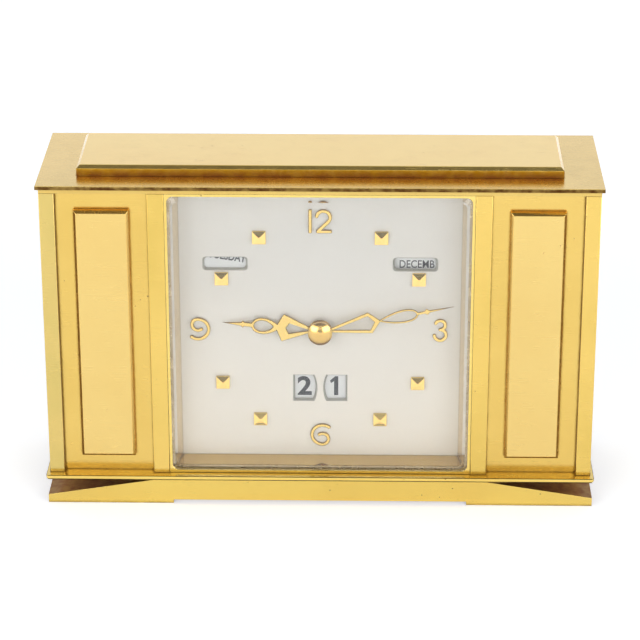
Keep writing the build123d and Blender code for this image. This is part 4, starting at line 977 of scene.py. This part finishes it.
@dataclass
class Case:
    """The metal case: foot, plates, wings, top and the rear door."""

    soft_edge: float = 0.16 * MM
    plate_edge: float = 0.12 * MM
    base_edge: float = 0.7 * MM
    sheet_edge: float = 0.08 * MM
    wings: tuple[str, ...] = ("left", "right")

    def build(self, shop: Workshop) -> None:
        """Dress the case's nodes.

        Args:
            shop: The workshop.
        """
        f = shop.finishes
        shop.dress(("top_rail", "rear_door", "door_knob"), f.gilt, self.plate_edge)
        shop.dress(("bezel",), f.bezel, self.plate_edge)
        shop.dress(("foot",), f.foot, self.plate_edge)
        shop.dress(("base_plate",), f.base, self.base_edge, 1, True)
        shop.dress(("cap_plate",), f.top, self.plate_edge)
        shop.dress(("top_plinth",), f.plinth, self.soft_edge)
        for side in self.wings:
            outer = f.dull_pilaster if side == "left" else f.pilaster
            shop.dress((f"{side}_inner_pilaster",), f.pilaster, self.soft_edge)
            shop.dress((f"{side}_outer_pilaster",), outer, self.soft_edge)
            shop.dress((f"{side}_raised_panel",), f.raised, self.soft_edge)
            flat = (f"{side}_front_panel", f"{side}_side_wall")
            shop.dress(flat, f.sheet, self.sheet_edge)
        shop.dress(("hinge_pin", "door_catch"), f.steel)


@dataclass(frozen=True)
class ScrewSet:
    """Four like screws at a rectangle's corners, named by the node that they stand for."""

    node: str
    head_radius: float
    head_height: float
    shank_radius: float
    rear: bool = True


@dataclass
class Fixings:
    """Slotted screws of the foot, the dial frame and the movement, made by one rule."""

    slot_width: float = 0.5 * MM
    slot_depth: float = 0.55 * MM
    soft_edge: float = 0.1 * MM
    head_sides: int = 40
    shank_sides: int = 24
    seed: int = 7
    sets: tuple[ScrewSet, ...] = (
        ScrewSet("base_screws", 2.75 * MM, 1.4 * MM, 1.5 * MM, False),
        ScrewSet("frame_screws", 1.9 * MM, 1.1 * MM, 1.0 * MM),
        ScrewSet("plate_screws", 2.2 * MM, 1.2 * MM, 0.9 * MM),
    )

    def cylinder(self, rule: Rule, part: str, length: str, sides: int, shift: float) -> Wire:
        """A round part of a screw.

        Args:
            rule: The screw's rule.
            part: The part's name in the rule's inputs.
            length: What its length is called there.
            sides: Faces round it.
            shift: Its middle's height, as a share of its length.

        Returns:
            The part's geometry.
        """
        tall = rule.given(f"{part} {length}")
        sizes = {"Vertices": sides, "Radius": rule.given(f"{part} Radius"), "Depth": tall}
        made = rule.node("GeometryNodeMeshCylinder", None, sizes)
        return rule.moved(made, rule.vector(z=tall * shift))

    def screws(self, shop: Workshop, kind: ScrewSet) -> None:
        """Make one set, whose heads point to the rear or up.

        Args:
            shop: The workshop.
            kind: The set.
        """
        low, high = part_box(kind.node)
        span, middle = high - low, (low + high) / 2
        if kind.rear:
            place = upright(middle.x, high.y - kind.head_height, middle.z, True)
            wide, deep, tall = span.x, span.z, span.y
        else:
            place = Matrix.Translation((middle.x, middle.y, high.z - kind.head_height))
            wide, deep, tall = span
        steel = shop.finishes.steel
        inputs = {
            "Head Radius": kind.head_radius,
            "Head Height": kind.head_height,
            "Shank Radius": kind.shank_radius,
            "Shank Length": tall - kind.head_height,
            "Slot Width": self.slot_width,
            "Slot Depth": self.slot_depth,
            "Spread X": wide - 2 * kind.head_radius,
            "Spread Y": deep - 2 * kind.head_radius,
            "Seed": self.seed,
            "Finish": shop.material(steel),
        }
        rule = Rule(f"{kind.node}_rule", inputs)
        give = rule.given
        top = self.cylinder(rule, "Head", "Height", self.head_sides, 0.5)
        cut = rule.vector(give("Head Radius") * 3.0, give("Slot Width"), give("Slot Depth") * 2.0)
        bar = rule.node("GeometryNodeMeshCube", None, {"Size": cut})
        bar = rule.moved(bar, rule.vector(z=give("Head Height")))
        way = {"operation": "DIFFERENCE"}
        slotted = rule.node("GeometryNodeMeshBoolean", way, {0: top, 1: bar})
        stem = self.cylinder(rule, "Shank", "Length", self.shank_sides, -0.5)
        screw = rule.joined(slotted, stem)
        corners = rule.grid(give("Spread X"), give("Spread Y"))
        turns = {2: 0.0, 3: math.pi, "Seed": give("Seed")}
        turn = rule.node("FunctionNodeRandomValue", None, turns, 1)
        spots = {"Points": corners, "Instance": screw, "Rotation": rule.vector(z=turn)}
        mesh = rule.mesh(rule.node("GeometryNodeInstanceOnPoints", None, spots), place)
        made = shop.piece(f"{kind.node}_slotted", mesh, steel, "case", (kind.node,))
        soften(made, self.soft_edge)

    def build(self, shop: Workshop) -> None:
        """Make every set of screws."""
        for kind in self.sets:
            self.screws(shop, kind)


@dataclass
class Dial:
    """The glazed dial: reveal, plate, numerals, studs and crystal."""

    stud_size: float = 4.5 * MM
    stud_top: float = 0.5 * MM
    stud_wall: float = 0.9 * MM
    stud_relief: float = 0.45 * MM
    stud_edge: float = 0.06 * MM
    plate_edge: float = 0.15 * MM
    numeral_edge: float = 0.25 * MM
    steep: tuple[float, float] = (20.2 * MM, 32.9 * MM)
    flat: tuple[float, float, float] = (32.75 * MM, 18.2 * MM, 19.4 * MM)
    numerals: tuple[str, ...] = ("numeral_12", "numeral_3", "numeral_6", "numeral_9")

    def studs(self, shop: Workshop) -> None:
        """Square studs with low pyramid fronts at the hours that have no numeral.

        Args:
            shop: The workshop.
        """
        out, up, down = self.flat
        bright = shop.finishes.polished
        inputs = {
            "Size": self.stud_size,
            "Narrowing": self.stud_top / self.stud_size,
            "Wall": self.stud_wall,
            "Relief": self.stud_relief,
            "Steep Width": 2 * self.steep[0],
            "Steep Height": 2 * self.steep[1],
            "Flat Width": 2 * out,
            "Flat Height": up + down,
            "Flat Shift": (up - down) / 2,
            "Finish": shop.material(bright),
        }
        rule = Rule("hour_stud_rule", inputs)
        give = rule.given
        seat = rule.grid(give("Size"), give("Size"))
        block, face = rule.extruded(seat, give("Wall"))
        raised, crest = rule.extruded(block, give("Relief"), face)
        drawn = {"Geometry": raised, "Selection": crest, "Scale": give("Narrowing")}
        shell = rule.joined(
            rule.node("GeometryNodeScaleElements", None, drawn),
            rule.node("GeometryNodeFlipFaces", None, {"Mesh": seat}),
        )
        seams = {"Geometry": shell, "Distance": SEAM_GAP}
        stud = rule.node("GeometryNodeMergeByDistance", None, seams)
        steep = rule.grid(give("Steep Width"), give("Steep Height"))
        flat = rule.grid(give("Flat Width"), give("Flat Height"))
        flat = rule.moved(flat, rule.vector(y=give("Flat Shift")))
        spots = {"Points": rule.joined(steep, flat), "Instance": stud}
        placed = rule.node("GeometryNodeInstanceOnPoints", None, spots)
        mesh = rule.mesh(placed, upright(*DIAL_CENTRE))
        made = shop.piece(
            "hour_studs_bright", mesh, bright, "case", ("hour_studs",)
        )
        soften(made, self.stud_edge)

    def build(self, shop: Workshop) -> None:
        """Dress the dial and make its studs.

        Args:
            shop: The workshop.
        """
        f = shop.finishes
        shop.dress(("dial",), f.dial, self.plate_edge, 3)
        shop.dress(("dial_frame",), f.reveal)
        shop.dress(self.numerals, f.hands, self.numeral_edge, 2, True)
        shop.dress(("crystal",), f.glass)
        self.studs(shop)


@dataclass
class Hands:
    """The two openwork hands and their nut."""

    hour_edge: float = 0.28 * MM
    minute_edge: float = 0.18 * MM

    def build(self, shop: Workshop) -> None:
        """Dress the hands.

        Args:
            shop: The workshop.
        """
        f = shop.finishes
        shop.dress(("hour_hand",), f.hands, self.hour_edge, 1, True)
        shop.dress(("minute_hand",), f.hands, self.minute_edge, 1, True)
        shop.dress(("hand_nut",), f.nut)


class WindowSide(Enum):
    """The side of a calendar disc that its window shows."""

    LEFT = -1
    RIGHT = 1


@dataclass
class CalendarDisc:
    """A printed disc behind one of the dial's windows, with its sizes in millimetres."""

    name: str
    centre: tuple[float, float]
    radius: float
    side: WindowSide
    words: tuple[str, ...]
    face: float = -11.66
    height: float = 7.0
    pitch: float = 1.05
    weight: float = 0.03
    start: float | None = None
    turn: float = 0.0
    lift: float = 0.15

    def outline(self, text: str) -> bpy.types.Curve:
        """The letters of a word as a flat filled curve.

        Args:
            text: The word; the digit 1 has an outline of its own, with a flag.

        Returns:
            The curve.
        """
        if text == "1":
            curve = bpy.data.curves.new("word", "CURVE")
            curve.dimensions = "2D"
            curve.fill_mode = "BOTH"
            line = curve.splines.new("POLY")
            line.points.add(len(FLAGGED_ONE) - 1)
            for point, (x, y) in zip(line.points, FLAGGED_ONE):
                point.co = (x, y, 0.0, 1.0)
            line.use_cyclic_u = True
        else:
            curve = bpy.data.curves.new("word", "FONT")
            curve.body = text
            curve.size = 1.0
            curve.offset = self.weight
            curve.resolution_u = 6
        curve.extrude = PRINT_RISE
        return curve

    def word(self, text: str) -> Mesh:
        """One printed word about its own middle, facing along Z.

        Args:
            text: The word.

        Returns:
            Its mesh.
        """
        mesh = settle(put("word", self.outline(text)))
        low = Vector(map(min, *(v.co for v in mesh.vertices)))
        high = Vector(map(max, *(v.co for v in mesh.vertices)))
        mesh.transform(Matrix.Translation(-(low + high) / 2))
        tall = self.height * MM / (high.y - low.y)
        across = tall * self.pitch
        if len(text) > 1:
            across = self.pitch * MM * len(text) / (high.x - low.x)
        mesh.transform(Matrix.Diagonal((across, tall, PRINT_SCALE, 1)))
        return mesh

    def build(self, shop: Workshop) -> None:
        """Dress the disc and its stem and print its words round it.

        Args:
            shop: The workshop.
        """
        f = shop.finishes
        shop.dress((f"{self.name}_disc",), f.disc)
        shop.dress((f"{self.name}_stem",), f.works)
        x = DIAL_CENTRE.x + self.centre[0] * MM
        z = DIAL_CENTRE.z + self.centre[1] * MM
        step = 2 * math.pi / len(self.words)
        seat = Matrix.Translation((x, self.face * MM, z))
        points: list[Vector] = []
        faces: list[tuple[int, ...]] = []
        for place, text in enumerate(self.words):
            mesh = self.word(text)
            out = self.side.value * self.radius * MM
            if self.start is not None:
                out += self.start * MM + self.pitch * MM * len(text) / 2
            turn = Matrix.Rotation(math.radians(self.turn) - place * step, 4, "Y")
            mesh.transform(seat @ turn @ upright(out, 0.0, self.lift * MM))
            faces += [tuple(i + len(points) for i in loop.vertices) for loop in mesh.polygons]
            points += [v.co.copy() for v in mesh.vertices]
            bpy.data.meshes.remove(mesh)
        printed = bpy.data.meshes.new(f"{self.name}_print")
        printed.from_pydata(points, [], faces)
        shop.piece(f"{self.name}_print", printed, f.ink, f"{self.name}_calendar")


@dataclass
class Calendar:
    """The four calendar discs; a long month's word is cut after six letters."""

    discs: tuple[CalendarDisc, ...] = (
        CalendarDisc(
            "day", centre=(-17.0, 23.45), radius=13.9, side=WindowSide.LEFT,
            words=("TUESDAY", "WEDNESDAY", "THURSDAY", "FRIDAY", "SATURDAY", "SUNDAY", "MONDAY"),
            height=2.9, pitch=1.8, weight=0.024, turn=8.7, lift=0.0,
        ),
        CalendarDisc(
            "month", centre=(17.0, 23.45), radius=14.5, side=WindowSide.RIGHT,
            words=(
                "DECEMB", "JANUAR", "FEBRUA", "MARCH", "APRIL", "MAY",
                "JUNE", "JULY", "AUGUST", "SEPTEM", "OCTOBE", "NOVEMB",
            ),
            face=-10.61, height=2.77, pitch=1.93, weight=0.01, start=-5.23, lift=-0.8,
        ),
        CalendarDisc(
            "tens", centre=(-14.05, -21.45), radius=8.75, side=WindowSide.RIGHT,
            words=tuple("2301"),
        ),
        CalendarDisc(
            "units", centre=(19.05, -21.45), radius=14.42, side=WindowSide.LEFT,
            words=tuple("1234567890"),
        ),
    )

    def build(self, shop: Workshop) -> None:
        """Build every disc."""
        for disc in self.discs:
            disc.build(shop)


@dataclass
class Movement:
    """The works behind the dial, and the cell that runs them."""

    wheels: tuple[str, ...] = ("minute_wheel", "hour_wheel", "day_wheel", "date_wheel")
    centre: tuple[str, ...] = ("cannon_pinion", "centre_wheel")
    plates: tuple[str, ...] = ("movement_front_plate", "movement_rear_plate")
    posts: tuple[str, ...] = ("movement_pillars", "dial_posts", "time_knob")
    plate_edge: float = 0.1 * MM
    moulded_edge: float = 0.3 * MM

    def build(self, shop: Workshop) -> None:
        """Dress the works.

        Args:
            shop: The workshop.
        """
        f = shop.finishes
        shop.dress(self.centre + self.wheels, f.works)
        shop.dress(self.plates + self.posts, f.works, self.plate_edge)
        shop.dress(("centre_arbor", "drive_pinion", "battery_contacts"), f.steel)
        shop.dress(("drive_unit", "battery_tray"), f.black, self.moulded_edge, 3)
        shop.dress(("battery",), f.cell)
        shop.dress(("battery_leads",), f.lead)


@dataclass
class Softbox:
    """A large soft light."""

    name: str
    place: tuple[float, float, float]
    aim: tuple[float, float, float]
    size: tuple[float, float]
    power: float

    def build(self) -> None:
        """Hang the light."""
        lamp = bpy.data.lights.new(self.name, "AREA")
        lamp.shape = "RECTANGLE"
        lamp.size, lamp.size_y = self.size
        lamp.energy = self.power
        hung = put(self.name, lamp)
        hung.location = self.place
        hung.rotation_mode = "QUATERNION"
        ahead = Vector(self.aim) - Vector(self.place)
        hung.rotation_quaternion = ahead.to_track_quat("-Z", "Y")


@dataclass
class Studio:
    """Floor, soft light and the camera at the photograph's viewing angle."""

    floor_half: float = 12.0
    floor: FloorPaint = FloorPaint("pale_floor", srgb(250, 250, 250), 0.4)
    ambient: float = 0.13
    pitch: float = 22.95
    yaw: float = -1.09
    roll: float = -0.06
    lens: float = 149.0
    sensor: float = 36.0
    clip: tuple[float, float] = (0.01, 50.0)
    eye: tuple[float, float, float] = (15.4 * MM, -827.8 * MM, 407.6 * MM)
    lights: tuple[Softbox, ...] = (
        Softbox("overhead", (0.0, 0.45, 1.5), (0.0, 0.45, 0.0), (2.2, 1.4), 7.6),
        Softbox("left_box", (-1.0, -1.3, 0.5), (0.0, 0.0, 0.06), (1.3, 0.9), 17.0),
        Softbox("right_box", (1.0, -1.3, 0.5), (0.0, 0.0, 0.06), (1.3, 0.9), 17.0),
        Softbox("front_box", (0.0, -1.6, 0.75), (0.0, 0.0, 0.06), (0.9, 0.8), 1.5),
        Softbox("left_wall", (-1.87, 0.33, 0.65), (0.0, 0.0, 0.65), (2.6, 1.22), 6.2),
        Softbox("right_wall", (1.87, 0.33, 0.65), (0.0, 0.0, 0.65), (2.6, 1.22), 6.2),
        Softbox("back_box", (0.0, 1.7, 0.62), (0.0, 0.0, 0.62), (2.6, 1.22), 7.8),
    )

    def camera(self) -> None:
        """Set up the camera."""
        data = bpy.data.cameras.new("photograph")
        data.sensor_fit = "HORIZONTAL"
        data.sensor_width = self.sensor
        data.lens = self.lens
        data.clip_start, data.clip_end = self.clip
        down, aside, lean = (math.radians(a) for a in (self.pitch, self.yaw, self.roll))
        level = Vector((math.sin(aside), math.cos(aside), 0.0)) * math.cos(down)
        ahead = level - Vector((0.0, 0.0, math.sin(down)))
        right = Vector((math.cos(aside), -math.sin(aside), 0.0))
        above = right.cross(ahead)
        across = right * math.cos(lean) + above * math.sin(lean)
        up = above * math.cos(lean) - right * math.sin(lean)
        stand = Matrix((across, up, -ahead)).transposed().to_4x4()
        stand.translation = self.eye
        eye = put("photograph", data)
        eye.matrix_world = stand
        bpy.context.scene.camera = eye

    def build(self, shop: Workshop) -> None:
        """Lay the floor, hang the lights and place the camera.

        Args:
            shop: The workshop.
        """
        h = self.floor_half
        mesh = bpy.data.meshes.new("floor")
        mesh.from_pydata([(-h, -h, 0), (h, -h, 0), (h, h, 0), (-h, h, 0)], [], [(0, 1, 2, 3)])
        mesh.materials.append(shop.material(self.floor))
        floor = put("floor", mesh)
        world = bpy.data.worlds.new("studio")
        world.use_nodes = True
        sky = world.node_tree.nodes["Background"].inputs
        sky["Color"].default_value = (1.0, 1.0, 1.0, 1.0)
        sky["Strength"].default_value = self.ambient
        bpy.context.scene.world = world
        bpy.context.scene.view_settings.view_transform = "Standard"
        for light in self.lights:
            light.build()
        self.camera()


def main() -> None:
    """Build the clock's looks."""
    logging.basicConfig(level=logging.INFO, format="%(name)s: %(message)s")
    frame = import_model()
    shop = Workshop(frame, Finishes())
    for assembly in (Case(), Fixings(), Dial(), Hands(), Calendar(), Movement(), Studio()):
        LOG.info("building %s", type(assembly).__name__)
        assembly.build(shop)


if __name__ == "__main__":
    main()
